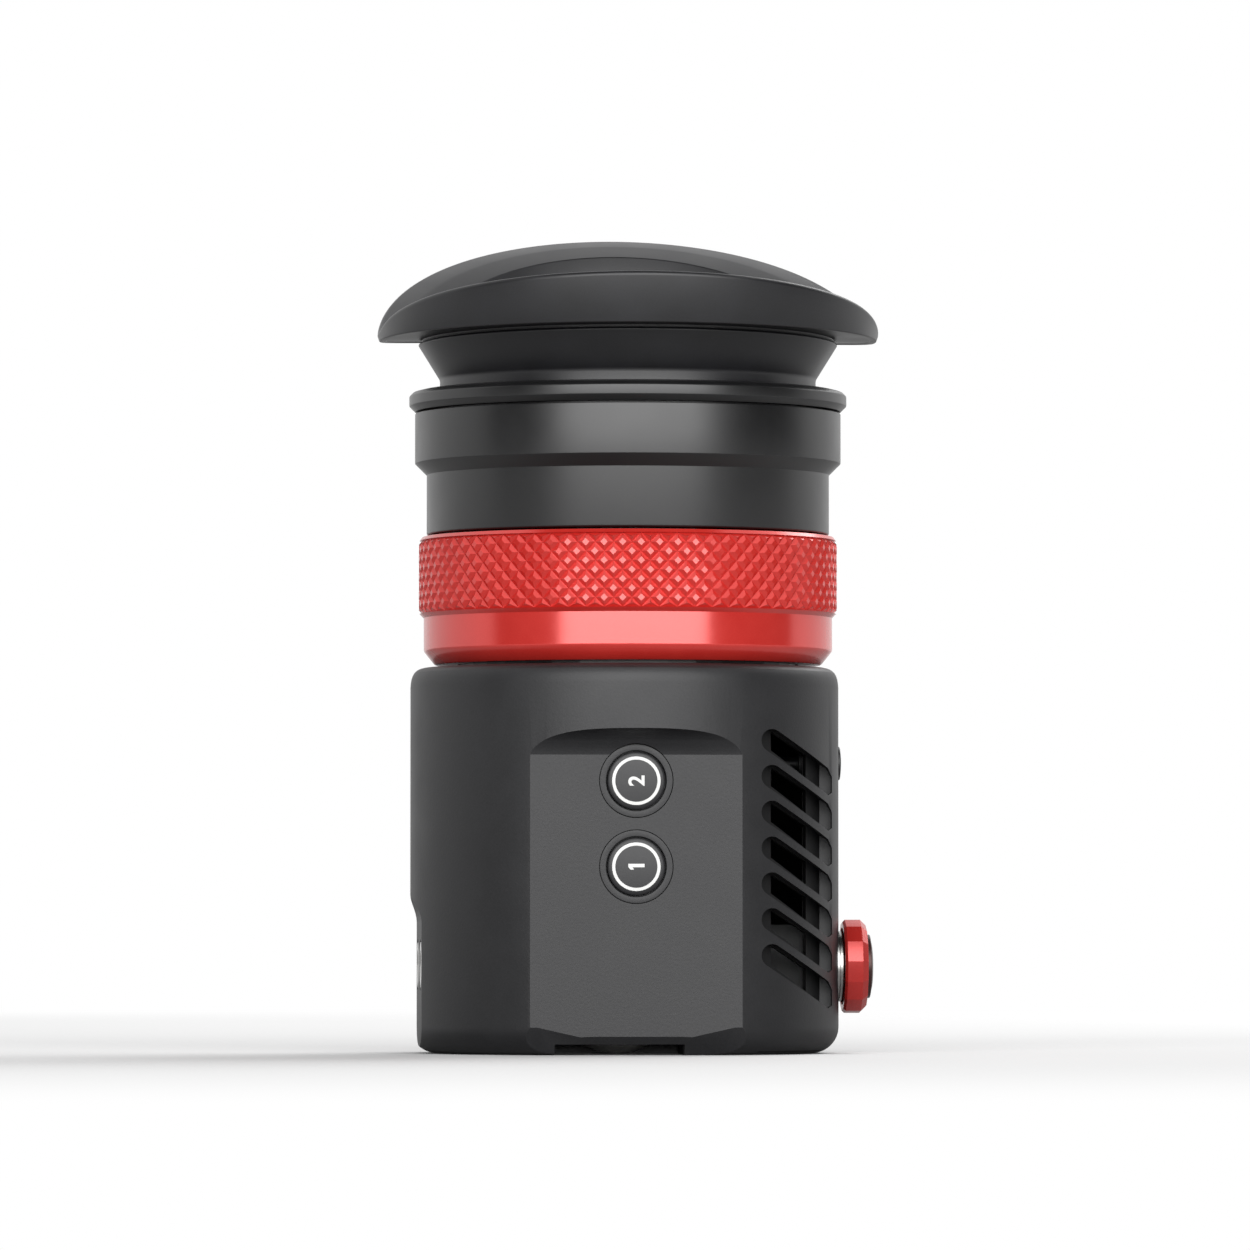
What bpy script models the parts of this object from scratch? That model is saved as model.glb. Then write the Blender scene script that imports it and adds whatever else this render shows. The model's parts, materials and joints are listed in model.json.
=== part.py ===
# Electronic viewfinder, standing on its front end with the eyecup up.
# Metres, +Z towards the eye, origin on the optical axis at the front face.
# The control panel faces -Y, the jog dial +X, the mounting pad -X, the sockets +Y.

import bpy
import bmesh
from math import asin, cos, pi, radians, sin, sqrt, tau
from mathutils import Matrix, Vector

# Clearances
SEAT_GAP = 0.0003
SEAM_GAP = 0.0002
OVERRUN = 0.0010

# Facet counts round a full turn
LARGE_STEPS = 36
MEDIUM_STEPS = 24
SMALL_STEPS = 16
TINY_STEPS = 8

# Housing: a round can, its own centre line a little to the side of the optical axis
HOUSING_RADIUS = 0.0310
HOUSING_OFFSET = -0.0005
HOUSING_HEIGHT = 0.0556
HOUSING_WALL = 0.0045
FLAT_WALL = 0.0031
TOP_WALL = 0.0046
FOOT_FILLET = 0.0038
FOOT_FILLET_STEPS = 4
SHOULDER_INSET = 0.0016
SHOULDER_DROP = 0.0026
SHOULDER_SHARES = ((0.0, 1.0), (0.19, 0.46), (0.5, 0.17), (1.0, 0.0))

# Flat faces milled into the housing, each with a scooped run-out at its top
PANEL_WIDTH = 0.0302
SOCKET_FACE_WIDTH = 0.0270
FLAT_SETBACK = 0.0130
SCOOP_RADIUS = 0.0050
SCOOP_STANDOFF = 0.0009
SCOOP_DROP = 0.0012
SCOOP_STEPS = 24
PANEL_FOOT_RISE = 0.0026
PANEL_FOOT_INSET = 0.0016
PANEL_FOOT_SHARES = ((-1.2, 1.5), (-0.93, 1.5), (-0.42, 1.0), (0.42, 1.0), (0.93, 1.5), (1.2, 1.5))

# Mounting pad on the -X side, with two threaded steel inserts
PAD_DEPTH = 0.00126
PAD_TOP = 0.0198
PAD_RAMP = 0.0029
INSERT_SPACING = 0.0100
INSERT_HEIGHT = 0.0127
INSERT_RADIUS = 0.0034
INSERT_BORE = 0.0017
INSERT_LENGTH = 0.0036
INSERT_EDGE = 0.0002

# Cooling vents: slanted slots with a shallow floor and a window to the inside
VENT_COUNT = 7
VENT_RIB = 0.00102
VENT_FOOT = 0.0141
VENT_TOP_SETBACK = 0.0109
VENT_SETBACK = 0.0114
VENT_END_SETBACK = 0.0017
VENT_WINDOW_END_SETBACK = 0.0058
VENT_SLOPE = radians(32.1)
VENT_DEPTH = 0.0022
VENT_LEDGE = 0.0003
VENT_ROUND_STEPS = 6

# Notch in the base rim and the recess behind it, with a domed screw
RECESS_X = -0.0028
RECESS_WIDTH = 0.0185
RECESS_HEIGHT = 0.0015
RECESS_LENGTH = 0.0125
FRONT_SCREW_SETBACK = 0.0065
FRONT_SCREW_HEAD_RADIUS = 0.0050
FRONT_SCREW_DOME_RADIUS = 0.0093
FRONT_SCREW_CLEARANCE = 0.0001
FRONT_SCREW_RADIUS = 0.0020
FRONT_SCREW_LENGTH = 0.0085
FRONT_SCREW_BOSS_RADIUS = 0.0045
FRONT_SCREW_EDGE = 0.0007
FRONT_SCREW_DOME_STEPS = 4

# Front cover and its screws
COVER_THICKNESS = 0.0036
COVER_SCREW_ANGLES = (radians(30), radians(150), radians(210), radians(330))
COVER_SCREW_INSET = 0.0026
COVER_SCREW_RADIUS = 0.0010
COVER_SCREW_HEAD_RADIUS = 0.0019
COVER_SCREW_LENGTH = 0.0082
COVER_SCREW_SINK = 0.0002
SCREW_BOSS_RADIUS = 0.0032
SCREW_BOSS_HEIGHT = 0.0060
SCREW_SOCKET_SHARE = 0.7

# Eyepiece tube, held in the housing's top
HOUSING_RIM = 0.0022
TUBE_FLANGE_REACH = 0.0029
TUBE_WALL = 0.0020
TUBE_TOP_SETBACK = 0.0063
TUBE_FLANGE_THICKNESS = 0.0016
TUBE_SEAT_DEPTH = 0.0020
LIGHT_HOLE_LEDGE = 0.0058
TUBE_SCREW_COUNT = 3
TUBE_SCREW_RADIUS = 0.0006
TUBE_SCREW_HEAD_RADIUS = 0.0010
TUBE_SCREW_LENGTH = 0.0034
CAM_SLOT_ANGLE = radians(90)

# Diopter ring: a grip band over a smooth band, with helical grooves inside
RING_GAP = 0.0005
RING_HEIGHT = 0.0185
RING_WALL = 0.0049
RING_BORE_CLEARANCE = 0.0004
RING_CHAMFER = 0.0016
RING_CHAMFER_RISE = 0.0020
GRIP_STEP = 0.0007
GRIP_START = 0.0068
GRIP_EDGE = 0.0005
DIOPTER_SWING = radians(60)
DIOPTER_TRAVEL = 0.0020
CAM_GROOVE_DEPTH = 0.0015
CAM_GROOVE_STEPS = 14

# Friction O-ring between the tube and the diopter ring
O_RING_SECTION = 0.00055
O_RING_RUN_GAP = 0.0002
O_RING_RISE = 0.0030
O_RING_SECTION_STEPS = 5

# Lens cell and what it holds
CELL_END_GAP = 0.0008
CELL_RISE = 0.0024
CELL_LIP = 0.0015
CELL_LIP_REACH = 0.0018
CELL_UPPER_WALL = 0.0022
CAM_PIN_COUNT = 3
CAM_PIN_RADIUS = 0.0010
CAM_PIN_RISE = 0.0065
CAM_PIN_SINK = 0.0014
CELL_WALL = 0.0032
LENS_EDGE = 0.0030
LENS_RIM = 0.0019
EYE_LENS_SINK = 0.0100
EYE_LENS_FRONT_CROWN = 0.0040
EYE_LENS_BACK_CROWN = 0.0020
MIDDLE_LENS_EDGE_RISE = 0.0100
MIDDLE_LENS_FRONT_CROWN = 0.0030
MIDDLE_LENS_BACK_CROWN = 0.0015
FIELD_LENS_FRONT_CROWN = 0.0025
FIELD_LENS_BACK_CROWN = 0.0010
LENS_ARC_STEPS = 3
SPACER_WALL = 0.0015
RETAINER_WALL = 0.0017
RETAINER_HEIGHT = 0.0040

# Eyepiece barrel, the ring on its top and the bezel round the eye lens
BARREL_WALL = 0.00456
BARREL_STEP = 0.0017
BARREL_HEIGHT = 0.0176
BARREL_STEP_RISE = 0.0087
BARREL_EDGE = 0.0003
COLLAR_HEIGHT = 0.0030
COLLAR_UNDERCUT = 0.00084
COLLAR_SHOULDER = 0.0016
COLLAR_SHOULDER_DROP = 0.0008
COLLAR_SPIGOT_INSET = 0.00196
COLLAR_SPIGOT_WALL = 0.0014
COLLAR_SPIGOT_LENGTH = 0.0042
BEZEL_HEIGHT = 0.0022
BEZEL_OVERLAP = 0.0010
BEZEL_EDGE = 0.0006
BEZEL_RIM = 0.0015

# Eyecup: foot bead, conical neck, saddle-shaped flange round a bowl
EYECUP_FOOT_INSET = 0.00186
EYECUP_FOOT_HEIGHT = 0.0012
EYECUP_FOOT_REACH = 0.00175
EYECUP_NECK_RISE = 0.0040
EYECUP_WALL = 0.00195
EYECUP_NECK_FLARE = 0.00325
EYECUP_LEDGE_RISE = 0.0072
EYECUP_NECK_FILLET = 0.0006
EYECUP_BRIM = 0.0059
EYECUP_NEAR_STRETCH = 0.0012
EYECUP_FAR_STRETCH = 0.0022
EYECUP_SKIRT_TUCK = 0.0004
EYECUP_SIDE_RISE = 0.0009
EYECUP_NEAR_RISE = 0.0067
EYECUP_FAR_RISE = 0.01745
EYECUP_LIP = 0.0008
EYECUP_NEAR_SLOPE_POWER = 0.75
EYECUP_FAR_SLOPE_POWER = 1.09
EYECUP_CREASE_SETBACK = 0.0072
EYECUP_SIDE_CREASE_DROP = 0.0008
EYECUP_NEAR_CREASE_DROP = 0.0022
EYECUP_FAR_CREASE_DROP = 0.0031
EYECUP_BOWL_RISE = 0.0030

# Buttons on the panel
BUTTON_SETBACK = 0.0037
BUTTON_SPACING = 0.0122
BUTTON_BEZEL_RADIUS = 0.0052
BUTTON_BEZEL_BORE = 0.0043
BUTTON_BEZEL_THICKNESS = 0.0014
BUTTON_RADIUS = 0.0041
BUTTON_FLANGE_RADIUS = 0.0047
BUTTON_FLANGE_THICKNESS = 0.0006
BUTTON_PROUD = 0.0002
BUTTON_EDGE = 0.0003
BUTTON_STEM_RADIUS = 0.0012
BUTTON_TRAVEL = 0.0005
SWITCH_SIZE = 0.0050
SWITCH_HEIGHT = 0.0010
SWITCH_PLUNGER_RADIUS = 0.0012
SWITCH_PLUNGER_HEIGHT = 0.0006
BOARD_THICKNESS = 0.0012
KEY_BOARD_SETBACK = 0.0062
KEY_BOARD_WIDTH = 0.0150
KEY_BOARD_FOOT = 0.0077
KEY_BOARD_HEAD = 0.0067
KEY_POST_RADIUS = 0.0012
KEY_POST_SPACING = 0.0120

# Side key and jog dial on the +X side
SIDE_KEY_TOP_SETBACK = 0.0137
SIDE_KEY_RADIUS = 0.00245
SIDE_KEY_PROUD = 0.0004
SIDE_KEY_DOME = 0.0002
SIDE_KEY_FLANGE_RADIUS = 0.0033
SIDE_KEY_FLANGE_THICKNESS = 0.0008
SIDE_KEY_FLANGE_SETBACK = 0.0059
SIDE_KEY_STEM_RADIUS = 0.0010
SIDE_KEY_TRAVEL = 0.0004
SIDE_BOARD_SETBACK = 0.0124
SIDE_BOARD_CLEARANCE = 0.00125
SIDE_BOARD_BOTTOM = 0.0055
SIDE_BOARD_HEAD = 0.0035
DIAL_HEIGHT = 0.0125
DIAL_RADIUS = 0.0068
DIAL_FACETS = 14
DIAL_GAP = 0.0006
DIAL_THICKNESS = 0.0034
DIAL_BEVEL = 0.0009
DIAL_BACK_BORE = 0.0056
DIAL_BACK_DEPTH = 0.0009
DIAL_CAP_RADIUS = 0.0046
DIAL_CAP_SEAT = 0.0009
DIAL_CAP_PROUD = 0.0006
DIAL_CAP_DOME_RADIUS = 0.0042
DIAL_CAP_DOME = 0.0004
DIAL_TRAVEL = 0.0004
ENCODER_SIZE = 0.0120
ENCODER_SETBACK = 0.0055
ENCODER_DEPTH = 0.0054
ENCODER_BUSHING_RADIUS = 0.0032
ENCODER_CHAMBER_RADIUS = 0.0026
ENCODER_CHAMBER_FLOOR = 0.0013
ENCODER_CHAMBER_DEPTH = 0.0026
ENCODER_SHAFT_RADIUS = 0.0015
ENCODER_PLUNGER_THICKNESS = 0.0006
ENCODER_NUT_RADIUS = 0.0052
ENCODER_NUT_THICKNESS = 0.0010
ENCODER_NUT_EDGE = 0.0002
SPOT_FACE_DEPTH = 0.0006

# Display, its carrier and the electronics
CARRIER_REACH = 0.0041
CARRIER_THICKNESS = 0.0025
HOOD_CLEARANCE = 0.0007
HOOD_WALL = 0.0016
CARRIER_PLATE_EDGE = 0.0005
CARRIER_PLATE_THICKNESS = 0.0020
DISPLAY_WINDOW = (0.0160, 0.0092)
DISPLAY_SIZE = (0.0210, 0.0150)
DISPLAY_THICKNESS = 0.0016
MAIN_BOARD_CLEARANCE = 0.0006
MAIN_BOARD_THICKNESS = 0.0016
MAIN_BOARD_TOP = 0.0233
STANDOFF_LENGTH = 0.0096
STANDOFF_RADIUS = 0.0022
STANDOFF_INSET = 0.00375
PROCESSOR_SIZE = 0.0140
PROCESSOR_THICKNESS = 0.0013
HEAT_SINK_SIZE = 0.0180
HEAT_SINK_BASE = 0.0020
HEAT_SINK_FINS = 6
HEAT_SINK_FIN = 0.0012
HEAT_SINK_HEIGHT = 0.0080
FLEX_WIDTH = 0.0120
FLEX_THICKNESS = 0.0003
FLEX_BEND = 0.0020
FLEX_BEND_STEPS = 4
FLEX_SETBACK = 0.0020
FLEX_OVERLAP = 0.0040

# Sockets on the far side
SOCKET_FOOT_SHARE = 0.54
SOCKET_GAP_SHARE = 0.21
VIDEO_JACK_BODY_RADIUS = 0.0056
VIDEO_JACK_BODY_LENGTH = 0.0050
VIDEO_JACK_RADIUS = 0.00483
VIDEO_JACK_BORE = 0.00405
VIDEO_JACK_REACH = 0.0115
VIDEO_JACK_LUG_RADIUS = 0.0010
VIDEO_JACK_LUG_HEIGHT = 0.0008
VIDEO_JACK_LUG_DISTANCE = 0.0025
VIDEO_JACK_NUT_RADIUS = 0.0081
VIDEO_JACK_NUT_THICKNESS = 0.0024
VIDEO_INSULATOR_RADIUS = 0.0024
VIDEO_INSULATOR_BORE = 0.0011
VIDEO_INSULATOR_SETBACK = 0.0010
VIDEO_CONTACT_RADIUS = 0.0008
VIDEO_BORE_FLOOR = 0.0025
POWER_SOCKET_RADIUS = 0.0036
POWER_SOCKET_FLANGE_RADIUS = 0.0050
POWER_SOCKET_FLANGE = 0.0018
POWER_SOCKET_BORE = 0.0026
POWER_SOCKET_BODY = 0.0045
POWER_SOCKET_FLOOR = 0.0012
POWER_SOCKET_SETBACK = 0.0013
POWER_PIN_HOLE_RADIUS = 0.0005
POWER_PIN_SPACING = 0.0020

# Places worked out from the sizes above
FLAT_TOP = HOUSING_HEIGHT - FLAT_SETBACK
BUTTON_HEIGHTS = (FLAT_TOP - BUTTON_SETBACK - BUTTON_SPACING, FLAT_TOP - BUTTON_SETBACK)
KEY_BOARD_BOTTOM = BUTTON_HEIGHTS[0] - KEY_BOARD_FOOT
KEY_BOARD_TOP = BUTTON_HEIGHTS[1] + KEY_BOARD_HEAD
SIDE_KEY_HEIGHT = HOUSING_HEIGHT - SIDE_KEY_TOP_SETBACK
SIDE_BOARD_TOP = SIDE_KEY_HEIGHT + SIDE_BOARD_HEAD
VENT_TOP = HOUSING_HEIGHT - VENT_TOP_SETBACK
VENT_PITCH = (VENT_TOP - VENT_FOOT) / (VENT_COUNT - 1)
VENT_WIDTH = VENT_PITCH * cos(VENT_SLOPE) - VENT_RIB
SOCKET_FACE_ROOM = FLAT_TOP - 2 * VIDEO_JACK_NUT_RADIUS - 2 * POWER_SOCKET_FLANGE_RADIUS
VIDEO_JACK_HEIGHT = SOCKET_FOOT_SHARE * SOCKET_FACE_ROOM + VIDEO_JACK_NUT_RADIUS
POWER_SOCKET_HEIGHT = (VIDEO_JACK_HEIGHT + VIDEO_JACK_NUT_RADIUS + SOCKET_GAP_SHARE * SOCKET_FACE_ROOM
                       + POWER_SOCKET_FLANGE_RADIUS)
CAVITY_RADIUS = HOUSING_RADIUS - HOUSING_WALL
PANEL_DISTANCE = sqrt(HOUSING_RADIUS ** 2 - (PANEL_WIDTH / 2) ** 2)
SOCKET_FACE_DISTANCE = sqrt(HOUSING_RADIUS ** 2 - (SOCKET_FACE_WIDTH / 2) ** 2)
CAVITY_TOP = HOUSING_HEIGHT - TOP_WALL
SIDE_SURFACE = HOUSING_RADIUS + HOUSING_OFFSET
PAD_DISTANCE = HOUSING_RADIUS - HOUSING_OFFSET - PAD_DEPTH
VENT_START = (SIDE_SURFACE - VENT_SETBACK, VENT_TOP)
VENT_END_X = SIDE_SURFACE - VENT_END_SETBACK
VENT_WINDOW_END_X = SIDE_SURFACE - VENT_WINDOW_END_SETBACK
VENT_END_DISTANCE = sqrt(CAVITY_RADIUS ** 2 - (VENT_WINDOW_END_X - HOUSING_OFFSET) ** 2) - SEAM_GAP
FRONT_SCREW_DISTANCE = PANEL_DISTANCE - FLAT_WALL - FRONT_SCREW_SETBACK
RECESS_END_DISTANCE = PANEL_DISTANCE - FLAT_WALL - RECESS_LENGTH
COVER_SCREW_DISTANCE = CAVITY_RADIUS - COVER_SCREW_INSET
KEY_BOARD_DISTANCE = PANEL_DISTANCE - KEY_BOARD_SETBACK
SIDE_KEY_FLANGE_DISTANCE = SIDE_SURFACE - SIDE_KEY_FLANGE_SETBACK
SIDE_BOARD_DISTANCE = SIDE_SURFACE - SIDE_BOARD_SETBACK
SIDE_BOARD_WIDTH = 2 * (COVER_SCREW_DISTANCE * sin(COVER_SCREW_ANGLES[0]) - SCREW_BOSS_RADIUS
                        - SIDE_BOARD_CLEARANCE)
DIAL_START = SIDE_SURFACE + DIAL_GAP
ENCODER_FRONT_DISTANCE = SIDE_SURFACE - ENCODER_SETBACK
MAIN_BOARD_SIZE = 2 * (SIDE_BOARD_DISTANCE - HOUSING_OFFSET) - 2 * MAIN_BOARD_CLEARANCE
FLEX_REACH = MAIN_BOARD_SIZE / 2 - FLEX_SETBACK
STANDOFF_SPACING = MAIN_BOARD_SIZE - 2 * STANDOFF_INSET
CARRIER_PLATE_SIZE = STANDOFF_SPACING + 2 * STANDOFF_RADIUS + 2 * CARRIER_PLATE_EDGE
TUBE_FLANGE_RADIUS = HOUSING_RADIUS - SHOULDER_INSET - HOUSING_RIM
TUBE_RADIUS = TUBE_FLANGE_RADIUS - TUBE_FLANGE_REACH
TUBE_SCREW_DISTANCE = (TUBE_RADIUS + TUBE_FLANGE_RADIUS) / 2
TUBE_BOTTOM = HOUSING_HEIGHT - TUBE_SEAT_DEPTH + SEAT_GAP
TUBE_BORE = TUBE_RADIUS - TUBE_WALL
LIGHT_HOLE_RADIUS = TUBE_BORE - LIGHT_HOLE_LEDGE
RING_BOTTOM = HOUSING_HEIGHT + RING_GAP
RING_TOP = RING_BOTTOM + RING_HEIGHT
RING_BORE = TUBE_RADIUS + RING_BORE_CLEARANCE
RING_RADIUS = RING_BORE + RING_WALL
GRIP_RADIUS = RING_RADIUS + GRIP_STEP
BARREL_RADIUS = TUBE_RADIUS + SEAT_GAP + BARREL_WALL
BARREL_UPPER_RADIUS = BARREL_RADIUS + BARREL_STEP
COLLAR_RADIUS = BARREL_UPPER_RADIUS + COLLAR_UNDERCUT
COLLAR_SPIGOT_RADIUS = BARREL_UPPER_RADIUS - COLLAR_SPIGOT_INSET
COLLAR_SPIGOT_BORE = COLLAR_SPIGOT_RADIUS - COLLAR_SPIGOT_WALL
EYECUP_FOOT_RADIUS = BARREL_UPPER_RADIUS - EYECUP_FOOT_INSET
EYECUP_NECK_RADIUS = EYECUP_FOOT_RADIUS - EYECUP_FOOT_REACH
EYECUP_BORE = EYECUP_NECK_RADIUS - EYECUP_WALL
EYECUP_NECK_TOP_RADIUS = EYECUP_NECK_RADIUS + EYECUP_NECK_FLARE
EYECUP_SIDE_REACH = EYECUP_NECK_TOP_RADIUS + EYECUP_BRIM
EYECUP_NEAR_REACH = EYECUP_SIDE_REACH + EYECUP_NEAR_STRETCH
EYECUP_FAR_REACH = EYECUP_SIDE_REACH + EYECUP_FAR_STRETCH
EYECUP_CREASE_RADIUS = EYECUP_SIDE_REACH - EYECUP_CREASE_SETBACK
BARREL_BOTTOM = RING_TOP + SEAT_GAP
BARREL_TOP = BARREL_BOTTOM + BARREL_HEIGHT
TUBE_TOP = BARREL_TOP - TUBE_TOP_SETBACK
COLLAR_BOTTOM = BARREL_TOP + SEAT_GAP
COLLAR_TOP = COLLAR_BOTTOM + COLLAR_HEIGHT
EYECUP_LEDGE_HEIGHT = COLLAR_TOP + EYECUP_LEDGE_RISE
EYECUP_SIDE_TOP = EYECUP_LEDGE_HEIGHT + EYECUP_SIDE_RISE
EYECUP_NEAR_TOP = EYECUP_LEDGE_HEIGHT + EYECUP_NEAR_RISE
EYECUP_FAR_TOP = EYECUP_LEDGE_HEIGHT + EYECUP_FAR_RISE
CELL_BOTTOM = RING_BOTTOM + CELL_RISE
CELL_RADIUS = TUBE_BORE - SEAT_GAP
CELL_BORE = CELL_RADIUS - CELL_WALL
CELL_LIP_RADIUS = CELL_BORE - CELL_LIP_REACH
CELL_UPPER_BORE = CELL_RADIUS - CELL_UPPER_WALL
LENS_RADIUS = CELL_BORE - SEAT_GAP
EYE_LENS_RADIUS = CELL_UPPER_BORE - SEAT_GAP
BEZEL_BORE = EYE_LENS_RADIUS - BEZEL_OVERLAP
CELL_TOP = BARREL_TOP - BEZEL_HEIGHT - DIOPTER_TRAVEL - CELL_END_GAP
EYE_LENS_EDGE_RISE = CELL_TOP - EYE_LENS_SINK - CELL_BOTTOM
CAM_PIN_HEIGHT = CELL_BOTTOM + CAM_PIN_RISE
CAM_SLOT_HALF = CAM_PIN_RADIUS + SEAT_GAP
CAM_LEAD = DIOPTER_TRAVEL / DIOPTER_SWING
CARRIER_PLATE_BOTTOM = MAIN_BOARD_TOP + STANDOFF_LENGTH + 2 * SEAT_GAP
HOOD_RADIUS = LIGHT_HOLE_RADIUS + HOOD_CLEARANCE
CARRIER_RADIUS = HOOD_RADIUS + CARRIER_REACH
HOOD_HEIGHT = (CAVITY_TOP - SEAT_GAP - CARRIER_THICKNESS - CARRIER_PLATE_THICKNESS
               - CARRIER_PLATE_BOTTOM)

TO_PLUS_X = Matrix.Rotation(pi / 2, 4, 'Y')
TO_MINUS_X = Matrix.Rotation(-pi / 2, 4, 'Y')
TO_PLUS_Y = Matrix.Rotation(-pi / 2, 4, 'X')
TO_MINUS_Y = Matrix.Rotation(pi / 2, 4, 'X')
UPRIGHT = Matrix.Identity(4)


def clear_scene():
    for obj in list(bpy.data.objects):
        bpy.data.objects.remove(obj)


def material(name, color, roughness, metallic=0.0, transmission=0.0):
    found = bpy.data.materials.get(name)
    if found:
        return found
    made = bpy.data.materials.new(name)
    made.use_nodes = True
    shader = made.node_tree.nodes['Principled BSDF']
    shader.inputs['Base Color'].default_value = (*color, 1.0)
    shader.inputs['Roughness'].default_value = roughness
    shader.inputs['Metallic'].default_value = metallic
    shader.inputs['Transmission Weight'].default_value = transmission
    return made


def black_anodised():
    return material('black_anodised', (0.035, 0.035, 0.037), 0.45, 0.6)


def black_texture():
    return material('black_textured_coat', (0.045, 0.045, 0.046), 0.65, 0.2)


def red_anodised():
    return material('red_anodised', (0.62, 0.035, 0.028), 0.35, 0.8)


def black_rubber():
    return material('black_rubber', (0.030, 0.030, 0.032), 0.7)


def steel():
    return material('polished_steel', (0.60, 0.60, 0.61), 0.2, 1.0)


def brass():
    return material('brass', (0.60, 0.45, 0.18), 0.35, 1.0)


def glass():
    return material('coated_glass', (0.75, 0.80, 0.85), 0.02, 0.0, 0.9)


def circuit_board():
    return material('circuit_board', (0.012, 0.014, 0.013), 0.5)


def black_plastic():
    return material('black_plastic', (0.02, 0.02, 0.02), 0.5)


def white_plastic():
    return material('white_plastic', (0.80, 0.79, 0.75), 0.4)


def amber_film():
    return material('amber_film', (0.45, 0.20, 0.04), 0.4)


def finish(bm, name, look, location=(0.0, 0.0, 0.0), turn=UPRIGHT, smooth_angle=radians(35)):
    """Make an object of a bmesh whose own axis is local Z."""
    bmesh.ops.recalc_face_normals(bm, faces=bm.faces)
    mesh = bpy.data.meshes.new(name)
    bm.to_mesh(mesh)
    bm.free()
    mesh.shade_smooth()
    mesh.set_sharp_from_angle(angle=smooth_angle)
    if look:
        mesh.materials.append(look)
    obj = bpy.data.objects.new(name, mesh)
    obj.matrix_world = Matrix.Translation(location) @ turn
    bpy.context.scene.collection.objects.link(obj)
    return obj


def turned(profile, steps):
    """Closed body of revolution about local Z, from a loop of (radius, height).

    A point on the axis is the tip of a cone, or marks a flat end where its
    neighbour has the same height."""
    bm = bmesh.new()
    rings = []
    for radius, height in profile:
        if radius == 0:
            rings.append([bm.verts.new((0.0, 0.0, height))])
        else:
            rings.append([bm.verts.new((radius * cos(tau * i / steps),
                                        radius * sin(tau * i / steps), height))
                          for i in range(steps)])
    for k, ring in enumerate(rings):
        following = rings[(k + 1) % len(rings)]
        if len(ring) == 1 and len(following) == 1:
            continue
        level = ring[0].co.z == following[0].co.z
        if level and min(len(ring), len(following)) == 1:
            bm.faces.new(max(ring, following, key=len))
            continue
        for i in range(steps):
            j = (i + 1) % steps
            corners = [ring[i % len(ring)], ring[j % len(ring)],
                       following[j % len(following)], following[i % len(following)]]
            bm.faces.new(list(dict.fromkeys(corners)))
    bmesh.ops.delete(bm, geom=[v for v in bm.verts if not v.link_faces], context='VERTS')
    return bm


def disc(radius, low, high, steps=SMALL_STEPS):
    return turned([(0, low), (radius, low), (radius, high), (0, high)], steps)


def tube(outer, inner, low, high, steps=SMALL_STEPS):
    return turned([(inner, low), (outer, low), (outer, high), (inner, high)], steps)


def prism(outline, low, high):
    """Outline in local X and Y, raised from low to high along local Z."""
    bm = bmesh.new()
    bottom = [bm.verts.new((x, y, low)) for x, y in outline]
    top = [bm.verts.new((x, y, high)) for x, y in outline]
    bm.faces.new(bottom[::-1])
    bm.faces.new(top)
    count = len(outline)
    for i in range(count):
        j = (i + 1) % count
        bm.faces.new((bottom[i], bottom[j], top[j], top[i]))
    return bm


def block(low, high):
    return prism([(low[0], low[1]), (high[0], low[1]), (high[0], high[1]), (low[0], high[1])],
                 low[2], high[2])


def arc(centre, radius, start, end, steps):
    return [(centre[0] + radius * cos(start + (end - start) * i / steps),
             centre[1] + radius * sin(start + (end - start) * i / steps))
            for i in range(steps + 1)]


def cutter(bm, name, location=(0.0, 0.0, 0.0), turn=UPRIGHT):
    obj = finish(bm, name, None, location, turn)
    obj.hide_render = True
    obj.display_type = 'WIRE'
    return obj


def combine(target, tool, operation):
    step = target.modifiers.new(tool.name, 'BOOLEAN')
    step.operation = operation
    step.solver = 'EXACT'
    step.object = tool


def cut(target, *tools):
    for tool in tools:
        combine(target, tool, 'DIFFERENCE')


def on_circle(radius, angle, centre_x=0.0):
    return centre_x + radius * cos(angle), radius * sin(angle)


def housing_body():
    inner = HOUSING_RADIUS - FOOT_FILLET
    foot = arc((inner, FOOT_FILLET), FOOT_FILLET, -pi / 2, 0, FOOT_FILLET_STEPS)
    profile = [(0, 0), *foot,
               *[(HOUSING_RADIUS - inset_share * SHOULDER_INSET,
                  HOUSING_HEIGHT - drop_share * SHOULDER_DROP)
                 for inset_share, drop_share in SHOULDER_SHARES],
               (0, HOUSING_HEIGHT)]
    return finish(turned(profile, LARGE_STEPS), 'housing', black_texture(),
                  (HOUSING_OFFSET, 0, 0))


def cavity_tool():
    """Round room inside the housing, flat behind the panel and behind the sockets."""
    outline = []
    near_wall = PANEL_DISTANCE - FLAT_WALL
    far_wall = SOCKET_FACE_DISTANCE - FLAT_WALL
    near_angle = asin(near_wall / CAVITY_RADIUS)
    far_angle = asin(far_wall / CAVITY_RADIUS)
    centre = (HOUSING_OFFSET, 0)
    steps = LARGE_STEPS // 2
    outline += arc(centre, CAVITY_RADIUS, -near_angle, far_angle, steps)
    outline += arc(centre, CAVITY_RADIUS, pi - far_angle, pi + near_angle, steps)
    return cutter(prism(outline, -OVERRUN, CAVITY_TOP), 'cavity_tool')


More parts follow.
